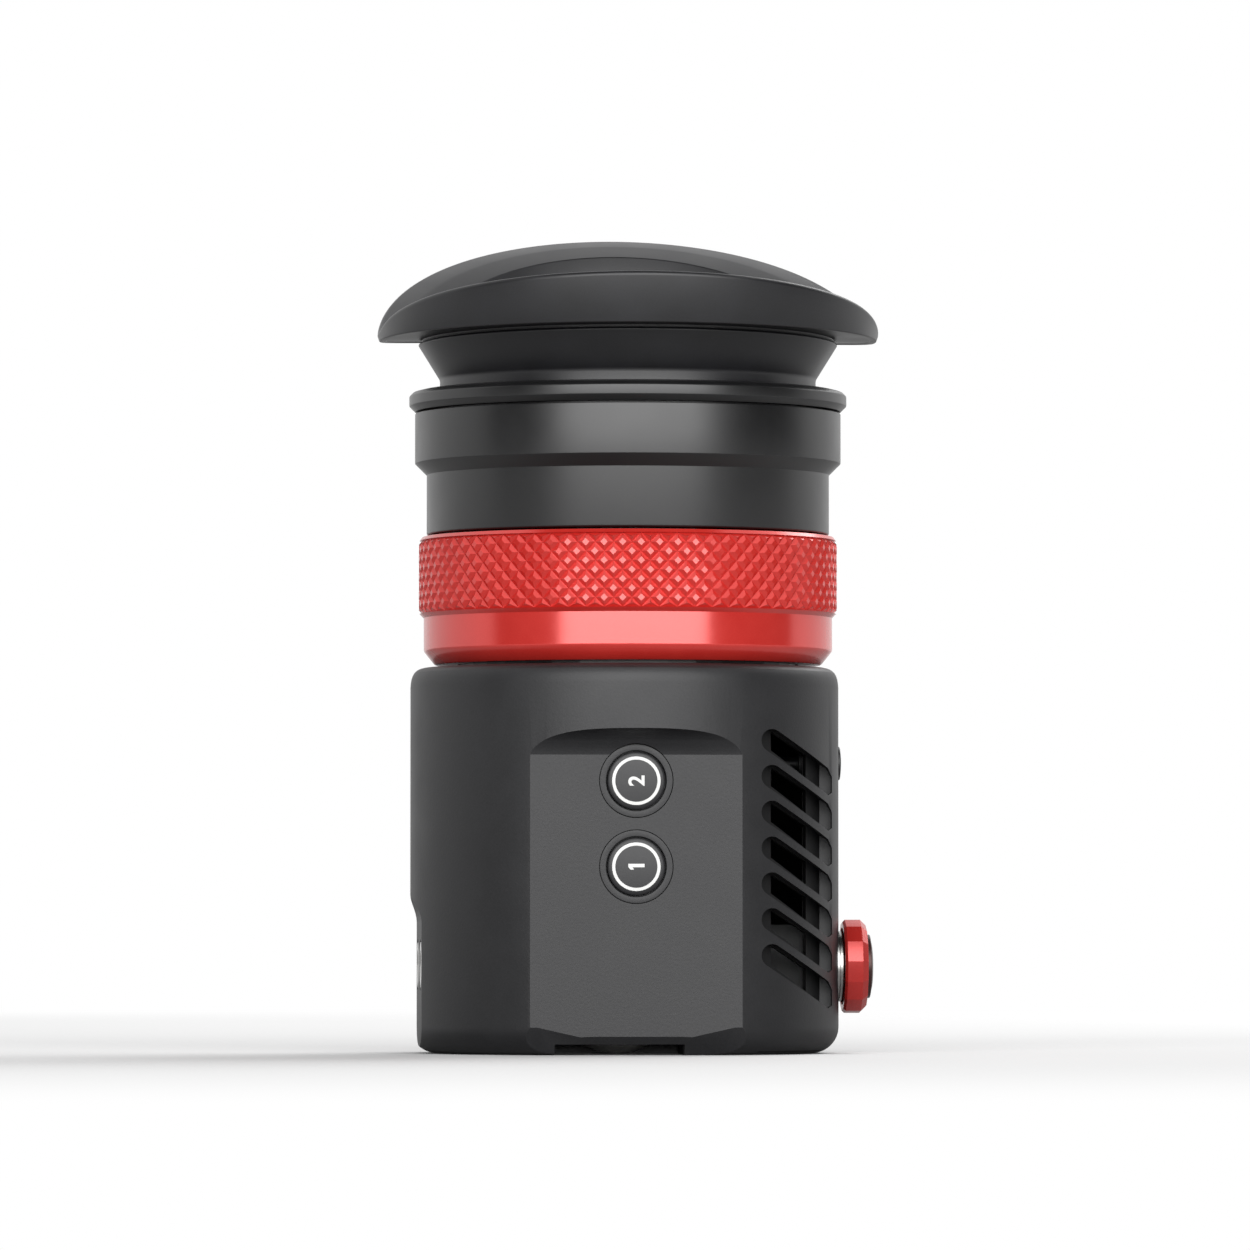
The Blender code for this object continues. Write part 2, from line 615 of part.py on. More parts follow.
def flat_tools(side, distance, name):
    """A milled flat, and the scoop where the mill leaves the round side above it."""
    reach = HOUSING_RADIUS + OVERRUN
    outer = HOUSING_RADIUS + SCOOP_STANDOFF + SCOOP_RADIUS + OVERRUN
    low, high = sorted((side * distance, side * outer))
    flat = cutter(block((HOUSING_OFFSET - reach, low, -OVERRUN),
                        (HOUSING_OFFSET + reach, high, FLAT_TOP)), name + '_flat_tool')
    scoop = cutter(disc(SCOOP_RADIUS, -reach, reach, SCOOP_STEPS), name + '_scoop_tool',
                   (HOUSING_OFFSET, side * (HOUSING_RADIUS + SCOOP_STANDOFF), FLAT_TOP - SCOOP_DROP),
                   TO_PLUS_X)
    below = cutter(block((HOUSING_OFFSET - reach - OVERRUN, -outer, -OVERRUN),
                         (HOUSING_OFFSET + reach + OVERRUN, outer, FLAT_TOP - SEAM_GAP)), name + '_below_tool')
    cut(scoop, below)
    return flat, scoop


def panel_foot_tool():
    """Bevel under the panel, low in the middle and rising at both ends."""
    bm = bmesh.new()
    outer = HOUSING_RADIUS + OVERRUN
    line = PANEL_DISTANCE - PANEL_FOOT_INSET
    columns = []
    for width_share, rise_share in PANEL_FOOT_SHARES:
        x = HOUSING_OFFSET + width_share * PANEL_WIDTH / 2
        rise = rise_share * PANEL_FOOT_RISE
        slope = rise / PANEL_FOOT_INSET
        columns.append([bm.verts.new((x, -outer, -OVERRUN)),
                        bm.verts.new((x, -line + OVERRUN / slope, -OVERRUN)),
                        bm.verts.new((x, -outer, (outer - line) * slope))])
    for left, right in zip(columns, columns[1:]):
        for i in range(3):
            j = (i + 1) % 3
            bm.faces.new((left[i], left[j], right[j], right[i]))
    bm.faces.new(columns[0])
    bm.faces.new(columns[-1])
    bmesh.ops.triangulate(bm, faces=bm.faces)
    return cutter(bm, 'panel_foot_tool')


def pad_tool():
    """Flat pad on the -X side with a ramp up to the round side."""
    outer = HOUSING_RADIUS + OVERRUN - HOUSING_OFFSET
    reach = HOUSING_RADIUS
    ramp = outer - PAD_DISTANCE
    slope = PAD_RAMP / (HOUSING_RADIUS - HOUSING_OFFSET - PAD_DISTANCE)
    outline = [(-outer, -OVERRUN), (-PAD_DISTANCE, -OVERRUN), (-PAD_DISTANCE, PAD_TOP),
               (-outer, PAD_TOP + ramp * slope)]
    return cutter(prism(outline, -reach, reach), 'pad_tool', (0, 0, 0), TO_MINUS_Y)


def vent_outline(index):
    """Slanted slot in X and Z: round at its start, square with cut corners at its end."""
    x, z = VENT_START
    z -= index * VENT_PITCH
    half = VENT_WIDTH / 2
    across = Vector((sin(VENT_SLOPE), cos(VENT_SLOPE)))
    along = Vector((cos(VENT_SLOPE), -sin(VENT_SLOPE)))
    start = Vector((x, z))
    points = arc((x, z), half, pi / 2 - VENT_SLOPE, 3 * pi / 2 - VENT_SLOPE, VENT_ROUND_STEPS)
    corner = half / 2
    for side in (-1, 1):
        edge = start + side * half * across
        length = (VENT_END_X - edge.x) / along.x
        tip = edge + length * along
        before = edge + (length - corner) * along
        after = tip - Vector((0, side * corner))
        points += [tuple(before), tuple(after)] if side < 0 else [tuple(after), tuple(before)]
    return points


def vent_tools():
    """Shallow pockets, down to a round floor, and the windows through that floor."""
    pockets = bmesh.new()
    windows = bmesh.new()
    x, top = VENT_START
    start_rise = VENT_WIDTH / 2 - VENT_LEDGE
    end_rise = VENT_WIDTH / 2 / cos(VENT_SLOPE) - VENT_LEDGE
    fall = (VENT_WINDOW_END_X - x) * sin(VENT_SLOPE) / cos(VENT_SLOPE)
    for index in range(VENT_COUNT):
        z = top - index * VENT_PITCH
        add_mesh(pockets, prism(vent_outline(index), VENT_END_DISTANCE, HOUSING_RADIUS + OVERRUN))
        window = [(x, z - start_rise), (VENT_WINDOW_END_X, z - fall - end_rise),
                  (VENT_WINDOW_END_X, z - fall + end_rise), (x, z + start_rise)]
        add_mesh(windows, prism(window, VENT_END_DISTANCE + VENT_LEDGE, HOUSING_RADIUS - OVERRUN))
    pocket_tool = cutter(pockets, 'vent_pocket_tool', (0, 0, 0), TO_MINUS_Y)
    floor = cutter(disc(HOUSING_RADIUS - VENT_DEPTH, -OVERRUN, HOUSING_HEIGHT, LARGE_STEPS),
                   'vent_floor_tool', (HOUSING_OFFSET, 0, 0))
    cut(pocket_tool, floor)
    window_tool = cutter(windows, 'vent_window_tool', (0, 0, 0), TO_MINUS_Y)
    return pocket_tool, window_tool


def add_mesh(target, piece):
    """Add the faces of one bmesh to another and free it."""
    mesh = bpy.data.meshes.new('piece')
    piece.to_mesh(mesh)
    piece.free()
    target.from_mesh(mesh)
    bpy.data.meshes.remove(mesh)


def housing():
    body = housing_body()
    cut(body, cavity_tool())
    for index, angle in enumerate(COVER_SCREW_ANGLES):
        place = (*on_circle(COVER_SCREW_DISTANCE, angle, HOUSING_OFFSET), COVER_THICKNESS + SEAT_GAP)
        boss = cutter(disc(SCREW_BOSS_RADIUS, 0, SCREW_BOSS_HEIGHT), f'cover_boss_{index}', place)
        combine(body, boss, 'UNION')
        hole = disc(COVER_SCREW_RADIUS + SEAT_GAP, -OVERRUN, SCREW_BOSS_HEIGHT - OVERRUN, TINY_STEPS)
        cut(body, cutter(hole, f'cover_boss_hole_{index}', place))
    near_wall = PANEL_DISTANCE - FLAT_WALL
    post_length = near_wall - KEY_BOARD_DISTANCE - SEAT_GAP
    post_height = sum(BUTTON_HEIGHTS) / len(BUTTON_HEIGHTS)
    for index, side in enumerate((-1, 1)):
        place = (HOUSING_OFFSET + side * KEY_POST_SPACING / 2, -near_wall, post_height)
        post = disc(KEY_POST_RADIUS, -OVERRUN, post_length, TINY_STEPS)
        combine(body, cutter(post, f'key_post_{index}', place, TO_PLUS_Y), 'UNION')
    cut(body, *flat_tools(-1, PANEL_DISTANCE, 'panel'))
    cut(body, *flat_tools(1, SOCKET_FACE_DISTANCE, 'socket_face'))
    cut(body, panel_foot_tool(), pad_tool())
    cut(body, *vent_tools())
    cut(body, recess_tool(HOUSING_RADIUS + OVERRUN, near_wall - OVERRUN, 'notch_tool'))
    seat_radius = TUBE_FLANGE_RADIUS + SEAT_GAP
    cut(body, cutter(disc(seat_radius, HOUSING_HEIGHT - TUBE_SEAT_DEPTH, HOUSING_HEIGHT + OVERRUN,
                          LARGE_STEPS), 'tube_seat_tool'),
        cutter(disc(LIGHT_HOLE_RADIUS, CAVITY_TOP - OVERRUN, HOUSING_HEIGHT, MEDIUM_STEPS),
               'light_hole_tool'))
    for index in range(TUBE_SCREW_COUNT):
        hole = disc(TUBE_SCREW_RADIUS + SEAT_GAP, CAVITY_TOP - OVERRUN, HOUSING_HEIGHT, TINY_STEPS)
        cut(body, cutter(hole, f'tube_screw_hole_{index}', (*tube_screw_place(index), 0)))
    bezel_hole = BUTTON_BEZEL_RADIUS + SEAM_GAP
    bezel_seat = PANEL_DISTANCE - BUTTON_BEZEL_THICKNESS - SEAM_GAP
    flange_hole = BUTTON_FLANGE_RADIUS + SEAT_GAP
    inside = near_wall - OVERRUN
    outside = HOUSING_RADIUS + OVERRUN
    profile = [(0, inside), (flange_hole, inside), (flange_hole, bezel_seat),
               (bezel_hole, bezel_seat), (bezel_hole, outside), (0, outside)]
    for index, height in enumerate(BUTTON_HEIGHTS):
        cut(body, cutter(turned(profile, MEDIUM_STEPS), f'button_hole_{index}',
                         (HOUSING_OFFSET, 0, height), TO_MINUS_Y))
    key_hole = disc(SIDE_KEY_RADIUS + SEAT_GAP, CAVITY_RADIUS - 2 * OVERRUN,
                    HOUSING_RADIUS + OVERRUN)
    cut(body, cutter(key_hole, 'side_key_hole', (0, 0, SIDE_KEY_HEIGHT), TO_PLUS_X))
    dial_hole = disc(ENCODER_BUSHING_RADIUS + SEAT_GAP, ENCODER_FRONT_DISTANCE - OVERRUN,
                     HOUSING_RADIUS + OVERRUN)
    spot_face = disc(ENCODER_NUT_RADIUS + SEAT_GAP, SIDE_SURFACE - SPOT_FACE_DEPTH,
                     HOUSING_RADIUS + OVERRUN, MEDIUM_STEPS)
    cut(body, cutter(dial_hole, 'dial_hole', (0, 0, DIAL_HEIGHT), TO_PLUS_X),
        cutter(spot_face, 'dial_spot_face', (0, 0, DIAL_HEIGHT), TO_PLUS_X))
    for index, place in enumerate(insert_places()):
        hole = disc(INSERT_RADIUS + SEAT_GAP, -INSERT_LENGTH - SEAT_GAP, OVERRUN)
        cut(body, cutter(hole, f'insert_hole_{index}', place, TO_MINUS_X))
    jack_hole = disc(VIDEO_JACK_RADIUS + SEAT_GAP, CAVITY_RADIUS - HOUSING_WALL,
                     HOUSING_RADIUS + OVERRUN)
    socket_hole = disc(POWER_SOCKET_RADIUS + SEAT_GAP, CAVITY_RADIUS - HOUSING_WALL,
                       HOUSING_RADIUS + OVERRUN)
    cut(body, cutter(jack_hole, 'video_jack_hole', (HOUSING_OFFSET, 0, VIDEO_JACK_HEIGHT), TO_PLUS_Y),
        cutter(socket_hole, 'power_socket_hole', (HOUSING_OFFSET, 0, POWER_SOCKET_HEIGHT), TO_PLUS_Y))


def recess_tool(outer, inner, name):
    half = RECESS_WIDTH / 2
    return cutter(block((RECESS_X - half, -outer, -OVERRUN),
                        (RECESS_X + half, -inner, RECESS_HEIGHT)), name)


def tube_screw_place(index):
    return on_circle(TUBE_SCREW_DISTANCE, CAM_SLOT_ANGLE + pi + index * tau / TUBE_SCREW_COUNT)


def insert_places():
    return [(-PAD_DISTANCE, side * INSERT_SPACING / 2, INSERT_HEIGHT) for side in (-1, 1)]


def screw(name, head_radius, radius, length, place, turn):
    """Countersunk screw with a socket; its head's face is at local zero, its tip below."""
    cone = head_radius - radius
    socket = SCREW_SOCKET_SHARE * radius
    profile = [(0, -length), (radius, -length), (radius, -cone), (head_radius, 0),
               (socket, 0), (socket, -cone), (0, -cone)]
    finish(turned(profile, TINY_STEPS), name, steel(), place, turn)


def front_cover():
    radius = CAVITY_RADIUS - SEAT_GAP
    near = PANEL_DISTANCE - FLAT_WALL - SEAT_GAP
    far = SOCKET_FACE_DISTANCE - FLAT_WALL - SEAT_GAP
    near_angle = asin(near / radius)
    far_angle = asin(far / radius)
    centre = (HOUSING_OFFSET, 0)
    outline = arc(centre, radius, -near_angle, far_angle, LARGE_STEPS // 2)
    outline += arc(centre, radius, pi - far_angle, pi + near_angle, LARGE_STEPS // 2)
    cover = finish(prism(outline, 0, COVER_THICKNESS), 'front_cover', black_texture())
    place = (RECESS_X, -FRONT_SCREW_DISTANCE, 0)
    boss = cutter(disc(FRONT_SCREW_BOSS_RADIUS, RECESS_HEIGHT + OVERRUN, FRONT_SCREW_LENGTH + OVERRUN),
                  'front_screw_boss', place)
    combine(cover, boss, 'UNION')
    cut(cover, recess_tool(HOUSING_RADIUS, RECESS_END_DISTANCE, 'recess_tool'))
    head_top = front_screw_head_top()
    cut(cover, cutter(disc(FRONT_SCREW_HEAD_RADIUS + SEAT_GAP, 0, head_top + SEAT_GAP),
                      'front_screw_seat', place),
        cutter(disc(FRONT_SCREW_RADIUS + SEAT_GAP, 0, FRONT_SCREW_LENGTH + 2 * OVERRUN),
               'front_screw_hole', place))
    for index, angle in enumerate(COVER_SCREW_ANGLES):
        spot = (*on_circle(COVER_SCREW_DISTANCE, angle, HOUSING_OFFSET), 0)
        hole_radius = COVER_SCREW_RADIUS + SEAT_GAP
        head = COVER_SCREW_HEAD_RADIUS + SEAT_GAP
        sink = COVER_SCREW_SINK
        profile = [(0, -OVERRUN), (head, -OVERRUN), (head, sink), (hole_radius, sink + head - hole_radius),
                   (hole_radius, COVER_THICKNESS + OVERRUN), (0, COVER_THICKNESS + OVERRUN)]
        cut(cover, cutter(turned(profile, SMALL_STEPS), f'cover_screw_hole_{index}', spot))


def front_screw_head_top():
    """Height of the flat back of the domed head above the base face."""
    crown = FRONT_SCREW_DOME_RADIUS - sqrt(FRONT_SCREW_DOME_RADIUS ** 2 - FRONT_SCREW_HEAD_RADIUS ** 2)
    return FRONT_SCREW_CLEARANCE + crown + FRONT_SCREW_EDGE


def front_screw():
    top = front_screw_head_top()
    span = asin(FRONT_SCREW_HEAD_RADIUS / FRONT_SCREW_DOME_RADIUS)
    centre = FRONT_SCREW_CLEARANCE + FRONT_SCREW_DOME_RADIUS
    dome = arc((0, centre), FRONT_SCREW_DOME_RADIUS, -pi / 2, span - pi / 2, FRONT_SCREW_DOME_STEPS)
    profile = [(0, FRONT_SCREW_CLEARANCE), *dome[1:], (FRONT_SCREW_HEAD_RADIUS, top),
               (FRONT_SCREW_RADIUS, top), (FRONT_SCREW_RADIUS, FRONT_SCREW_LENGTH),
               (0, FRONT_SCREW_LENGTH)]
    finish(turned(profile, SMALL_STEPS), 'front_screw', black_anodised(),
           (RECESS_X, -FRONT_SCREW_DISTANCE, 0))


def cover_screws():
    for index, angle in enumerate(COVER_SCREW_ANGLES):
        place = (*on_circle(COVER_SCREW_DISTANCE, angle, HOUSING_OFFSET), COVER_SCREW_SINK)
        screw(f'cover_screw_{index + 1}', COVER_SCREW_HEAD_RADIUS, COVER_SCREW_RADIUS,
              COVER_SCREW_LENGTH, place, Matrix.Rotation(pi, 4, 'X'))


def mount_inserts():
    edge = INSERT_EDGE
    profile = [(INSERT_BORE, -INSERT_LENGTH), (INSERT_RADIUS, -INSERT_LENGTH),
               (INSERT_RADIUS, -edge), (INSERT_RADIUS - edge, 0), (INSERT_BORE + edge, 0),
               (INSERT_BORE, -edge)]
    for index, place in enumerate(insert_places()):
        finish(turned(profile, SMALL_STEPS), f'mount_insert_{index + 1}', steel(), place, TO_MINUS_X)


def eyepiece_tube():
    """Fixed tube with an O-ring groove and three straight slots that guide the cam pins."""
    groove_low = RING_BOTTOM + O_RING_RISE
    groove_high = groove_low + 2 * O_RING_SECTION + 2 * SEAT_GAP
    groove_floor = RING_BORE - O_RING_RUN_GAP - 2 * O_RING_SECTION - SEAT_GAP
    flange_top = TUBE_BOTTOM + TUBE_FLANGE_THICKNESS
    profile = [(TUBE_BORE, TUBE_BOTTOM), (TUBE_FLANGE_RADIUS, TUBE_BOTTOM),
               (TUBE_FLANGE_RADIUS, flange_top), (TUBE_RADIUS, flange_top),
               (TUBE_RADIUS, groove_low), (groove_floor, groove_low), (groove_floor, groove_high),
               (TUBE_RADIUS, groove_high), (TUBE_RADIUS, TUBE_TOP), (TUBE_BORE, TUBE_TOP)]
    body = finish(turned(profile, LARGE_STEPS), 'eyepiece_tube', black_anodised())
    reach = DIOPTER_TRAVEL + CAM_SLOT_HALF
    for index in range(CAM_PIN_COUNT):
        angle = CAM_SLOT_ANGLE + index * tau / CAM_PIN_COUNT
        slot = cutter(block((TUBE_BORE - OVERRUN, -CAM_SLOT_HALF, CAM_PIN_HEIGHT - reach),
                            (TUBE_RADIUS + OVERRUN, CAM_SLOT_HALF, CAM_PIN_HEIGHT + reach)),
                      f'cam_slot_{index}', (0, 0, 0), Matrix.Rotation(angle, 4, 'Z'))
        cut(body, slot)
    hole_radius = TUBE_SCREW_RADIUS + SEAT_GAP
    head = TUBE_SCREW_HEAD_RADIUS + SEAT_GAP
    for index in range(TUBE_SCREW_COUNT):
        profile = [(0, TUBE_BOTTOM - OVERRUN), (hole_radius, TUBE_BOTTOM - OVERRUN),
                   (hole_radius, flange_top - head + hole_radius), (head, flange_top),
                   (head, flange_top + OVERRUN), (0, flange_top + OVERRUN)]
        cut(body, cutter(turned(profile, TINY_STEPS), f'tube_flange_hole_{index}',
                         (*tube_screw_place(index), 0)))
        screw(f'tube_screw_{index + 1}', TUBE_SCREW_HEAD_RADIUS, TUBE_SCREW_RADIUS,
              TUBE_SCREW_LENGTH, (*tube_screw_place(index), flange_top), UPRIGHT)


def friction_o_ring():
    centre = (RING_BORE - O_RING_RUN_GAP - O_RING_SECTION,
              RING_BOTTOM + O_RING_RISE + O_RING_SECTION + SEAT_GAP)
    profile = arc(centre, O_RING_SECTION, 0, tau, O_RING_SECTION_STEPS)[:-1]
    finish(turned(profile, MEDIUM_STEPS), 'friction_o_ring', black_rubber(), smooth_angle=pi)


def cam_groove_tool(index):
    """Helical groove in the ring's bore, along which a pin runs as the ring turns."""
    middle = CAM_SLOT_ANGLE + index * tau / CAM_PIN_COUNT
    inner = RING_BORE - OVERRUN
    outer = RING_BORE + CAM_GROOVE_DEPTH
    run_on = CAM_SLOT_HALF / RING_BORE
    swing = DIOPTER_SWING + run_on
    bm = bmesh.new()
    sections = []
    for k in range(CAM_GROOVE_STEPS + 1):
        turn = -swing + 2 * swing * k / CAM_GROOVE_STEPS
        height = CAM_PIN_HEIGHT - CAM_LEAD * turn
        angle = middle + turn
        sections.append([bm.verts.new((radius * cos(angle), radius * sin(angle), height + side))
                         for radius, side in ((inner, -CAM_SLOT_HALF), (outer, -CAM_SLOT_HALF),
                                              (outer, CAM_SLOT_HALF), (inner, CAM_SLOT_HALF))])
    for low, high in zip(sections, sections[1:]):
        for i in range(4):
            j = (i + 1) % 4
            bm.faces.new((low[i], low[j], high[j], high[i]))
    bm.faces.new(sections[0])
    bm.faces.new(sections[-1])
    return cutter(bm, f'cam_groove_{index}')


def diopter_ring():
    """Turned ring: a chamfered smooth band below a slightly larger band for the grip."""
    grip_low = RING_BOTTOM + GRIP_START
    grip_step = GRIP_RADIUS - RING_RADIUS
    profile = [(RING_BORE, RING_BOTTOM), (RING_RADIUS - RING_CHAMFER, RING_BOTTOM),
               (RING_RADIUS, RING_BOTTOM + RING_CHAMFER_RISE), (RING_RADIUS, grip_low),
               (GRIP_RADIUS, grip_low + grip_step), (GRIP_RADIUS, RING_TOP - GRIP_EDGE),
               (GRIP_RADIUS - GRIP_EDGE, RING_TOP), (RING_BORE, RING_TOP)]
    ring = finish(turned(profile, LARGE_STEPS), 'diopter_ring', red_anodised())
    cut(ring, *[cam_groove_tool(index) for index in range(CAM_PIN_COUNT)])


def lens_cell():
    edge = SEAT_GAP
    eye_seat = CELL_BOTTOM + EYE_LENS_EDGE_RISE - edge
    profile = [(CELL_LIP_RADIUS, CELL_BOTTOM), (CELL_RADIUS, CELL_BOTTOM), (CELL_RADIUS, CELL_TOP),
               (CELL_UPPER_BORE, CELL_TOP), (CELL_UPPER_BORE, eye_seat), (CELL_BORE, eye_seat),
               (CELL_BORE, CELL_BOTTOM + CELL_LIP), (CELL_LIP_RADIUS, CELL_BOTTOM + CELL_LIP)]
    cell = finish(turned(profile, LARGE_STEPS), 'lens_cell', black_anodised())
    pin_tip = RING_BORE + CAM_GROOVE_DEPTH - SEAT_GAP
    pin_root = CELL_RADIUS - CAM_PIN_SINK
    for index in range(CAM_PIN_COUNT):
        turn = Matrix.Rotation(CAM_SLOT_ANGLE + index * tau / CAM_PIN_COUNT, 4, 'Z') @ TO_PLUS_X
        hole = disc(CAM_PIN_RADIUS + SEAT_GAP, pin_root - SEAT_GAP, TUBE_RADIUS, TINY_STEPS)
        cut(cell, cutter(hole, f'cam_pin_hole_{index}', (0, 0, CAM_PIN_HEIGHT), turn))
        pin = disc(CAM_PIN_RADIUS, pin_root, pin_tip, TINY_STEPS)
        finish(pin, f'cam_pin_{index + 1}', brass(), (0, 0, CAM_PIN_HEIGHT), turn)


def lens(name, radius, edge_low, front_crown, back_crown):
    """Lens with a plain edge and a flat rim on both faces; front is towards the eye."""
    edge_high = edge_low + LENS_EDGE
    clear_radius = radius - LENS_RIM

    def cap(crown, base, direction):
        ball = (clear_radius ** 2 + crown ** 2) / (2 * crown)
        span = asin(clear_radius / ball)
        centre = base + direction * (crown - ball)
        return [(ball * sin(span * i / LENS_ARC_STEPS) if i else 0,
                 centre + direction * ball * cos(span * i / LENS_ARC_STEPS))
                for i in range(LENS_ARC_STEPS + 1)]

    back = cap(back_crown, edge_low, -1)
    front = cap(front_crown, edge_high, 1)
    profile = [*back, (radius, edge_low), (radius, edge_high), *front[::-1]]
    finish(turned(profile, MEDIUM_STEPS), name, glass())


def lens_stack():
    field_low = CELL_BOTTOM + CELL_LIP + SEAT_GAP
    middle_low = CELL_BOTTOM + MIDDLE_LENS_EDGE_RISE
    eye_low = CELL_BOTTOM + EYE_LENS_EDGE_RISE
    lens('field_lens', LENS_RADIUS, field_low, FIELD_LENS_FRONT_CROWN, FIELD_LENS_BACK_CROWN)
    lens('middle_lens', LENS_RADIUS, middle_low, MIDDLE_LENS_FRONT_CROWN, MIDDLE_LENS_BACK_CROWN)
    lens('eye_lens', EYE_LENS_RADIUS, eye_low, EYE_LENS_FRONT_CROWN, EYE_LENS_BACK_CROWN)
    spacer = tube(LENS_RADIUS, LENS_RADIUS - SPACER_WALL, field_low + LENS_EDGE + SEAT_GAP,
                  middle_low - SEAT_GAP, MEDIUM_STEPS)
    finish(spacer, 'lens_spacer', black_anodised())
    retainer_low = eye_low + LENS_EDGE + SEAT_GAP
    retainer = tube(EYE_LENS_RADIUS, EYE_LENS_RADIUS - RETAINER_WALL, retainer_low,
                    retainer_low + RETAINER_HEIGHT, MEDIUM_STEPS)
    finish(retainer, 'lens_retainer', black_anodised())


def spigot_bottom():
    return COLLAR_BOTTOM - COLLAR_SPIGOT_LENGTH


def bezel_seat():
    return BARREL_TOP - BEZEL_HEIGHT


def eyepiece_barrel():
    bore = TUBE_RADIUS + SEAT_GAP
    land = COLLAR_SPIGOT_BORE - SEAT_GAP
    groove = COLLAR_SPIGOT_RADIUS + SEAT_GAP
    groove_floor = spigot_bottom() - SEAT_GAP
    step = BARREL_BOTTOM + BARREL_STEP_RISE
    step_height = BARREL_UPPER_RADIUS - BARREL_RADIUS
    profile = [(bore, BARREL_BOTTOM), (BARREL_RADIUS - BARREL_EDGE, BARREL_BOTTOM),
               (BARREL_RADIUS, BARREL_BOTTOM + BARREL_EDGE), (BARREL_RADIUS, step),
               (BARREL_UPPER_RADIUS, step + step_height), (BARREL_UPPER_RADIUS, BARREL_TOP),
               (groove, BARREL_TOP), (groove, groove_floor), (land, groove_floor),
               (land, bezel_seat()), (bore, bezel_seat())]
    finish(turned(profile, LARGE_STEPS), 'eyepiece_barrel', black_anodised())


def eyecup_ring():
    """Collar whose inner groove holds the eyecup's foot, with a spigot down into the barrel."""
    lip_bore = EYECUP_NECK_RADIUS + SEAT_GAP
    groove = EYECUP_FOOT_RADIUS + SEAT_GAP
    groove_low = COLLAR_BOTTOM + SEAT_GAP
    groove_high = groove_low + EYECUP_FOOT_HEIGHT + 2 * SEAT_GAP
    profile = [(BARREL_UPPER_RADIUS, COLLAR_BOTTOM),
               (COLLAR_RADIUS, COLLAR_BOTTOM + COLLAR_UNDERCUT),
               (COLLAR_RADIUS, COLLAR_TOP - COLLAR_SHOULDER_DROP),
               (COLLAR_RADIUS - COLLAR_SHOULDER / 3, COLLAR_TOP - COLLAR_SHOULDER_DROP / 3),
               (COLLAR_RADIUS - COLLAR_SHOULDER, COLLAR_TOP),
               (lip_bore, COLLAR_TOP), (lip_bore, groove_high), (groove, groove_high),
               (groove, groove_low), (COLLAR_SPIGOT_BORE, groove_low),
               (COLLAR_SPIGOT_BORE, spigot_bottom()), (COLLAR_SPIGOT_RADIUS, spigot_bottom()),
               (COLLAR_SPIGOT_RADIUS, COLLAR_BOTTOM)]
    finish(turned(profile, LARGE_STEPS), 'eyecup_ring', black_anodised())


def eyepiece_bezel():
    radius = COLLAR_SPIGOT_BORE - SEAT_GAP
    low = bezel_seat() + SEAT_GAP
    high = low + BEZEL_HEIGHT
    profile = [(BEZEL_BORE, low), (radius, low), (radius, high), (radius - BEZEL_RIM, high),
               (BEZEL_BORE, low + BEZEL_EDGE)]
    finish(turned(profile, MEDIUM_STEPS), 'eyepiece_bezel', black_anodised())


def saddle(angle, side, near, far, near_power=1.0, far_power=1.0):
    """A value that runs from side (at +X and -X) to near (at -Y) and far (at +Y)."""
    lift = sin(angle)
    if lift < 0:
        return side + (near - side) * (-lift) ** near_power
    return side + (far - side) * lift ** far_power


def eyecup_section(angle):
    """Profile of the eyecup at one angle, from its foot up the outside and down the bowl."""
    foot_low = COLLAR_BOTTOM + 2 * SEAT_GAP
    foot_high = foot_low + EYECUP_FOOT_HEIGHT
    neck_top = EYECUP_LEDGE_HEIGHT
    reach = saddle(angle, EYECUP_SIDE_REACH, EYECUP_NEAR_REACH, EYECUP_FAR_REACH)
    top = saddle(angle, EYECUP_SIDE_TOP, EYECUP_NEAR_TOP, EYECUP_FAR_TOP,
                 EYECUP_NEAR_SLOPE_POWER, EYECUP_FAR_SLOPE_POWER)
    drop = saddle(angle, EYECUP_SIDE_CREASE_DROP, EYECUP_NEAR_CREASE_DROP, EYECUP_FAR_CREASE_DROP)
    skirt = EYECUP_SIDE_REACH - EYECUP_SKIRT_TUCK
    crease = (EYECUP_CREASE_RADIUS, top - drop)
    bowl_low = foot_high + EYECUP_BOWL_RISE
    middle_radius = (EYECUP_BORE + EYECUP_CREASE_RADIUS) / 2
    return [(EYECUP_BORE, foot_low), (EYECUP_FOOT_RADIUS, foot_low),
            (EYECUP_FOOT_RADIUS, foot_high), (EYECUP_NECK_RADIUS, foot_high),
            (EYECUP_NECK_RADIUS, foot_low + EYECUP_NECK_RISE),
            (EYECUP_NECK_TOP_RADIUS, neck_top - EYECUP_NECK_FILLET),
            (EYECUP_NECK_TOP_RADIUS + EYECUP_NECK_FILLET, neck_top),
            (skirt, neck_top),
            (reach, top - EYECUP_LIP),
            (reach - EYECUP_LIP / 4, top - EYECUP_LIP / 4),
            (reach - EYECUP_LIP, top),
            ((reach + crease[0]) / 2, (top + crease[1]) / 2 - EYECUP_LIP / 6),
            crease,
            (crease[0] - EYECUP_LIP / 4, crease[1] - EYECUP_LIP),
            (middle_radius, (crease[1] + bowl_low) / 2),
            (EYECUP_BORE, bowl_low)]


def eyecup():
    bm = bmesh.new()
    columns = []
    for i in range(LARGE_STEPS):
        angle = tau * i / LARGE_STEPS
        columns.append([bm.verts.new((radius * cos(angle), radius * sin(angle), height))
                        for radius, height in eyecup_section(angle)])
    for i, column in enumerate(columns):
        following = columns[(i + 1) % LARGE_STEPS]
        for k in range(len(column)):
            m = (k + 1) % len(column)
            bm.faces.new((column[k], following[k], following[m], column[m]))
    bmesh.ops.triangulate(bm, faces=bm.faces)
    finish(bm, 'eyecup', black_rubber(), smooth_angle=radians(50))


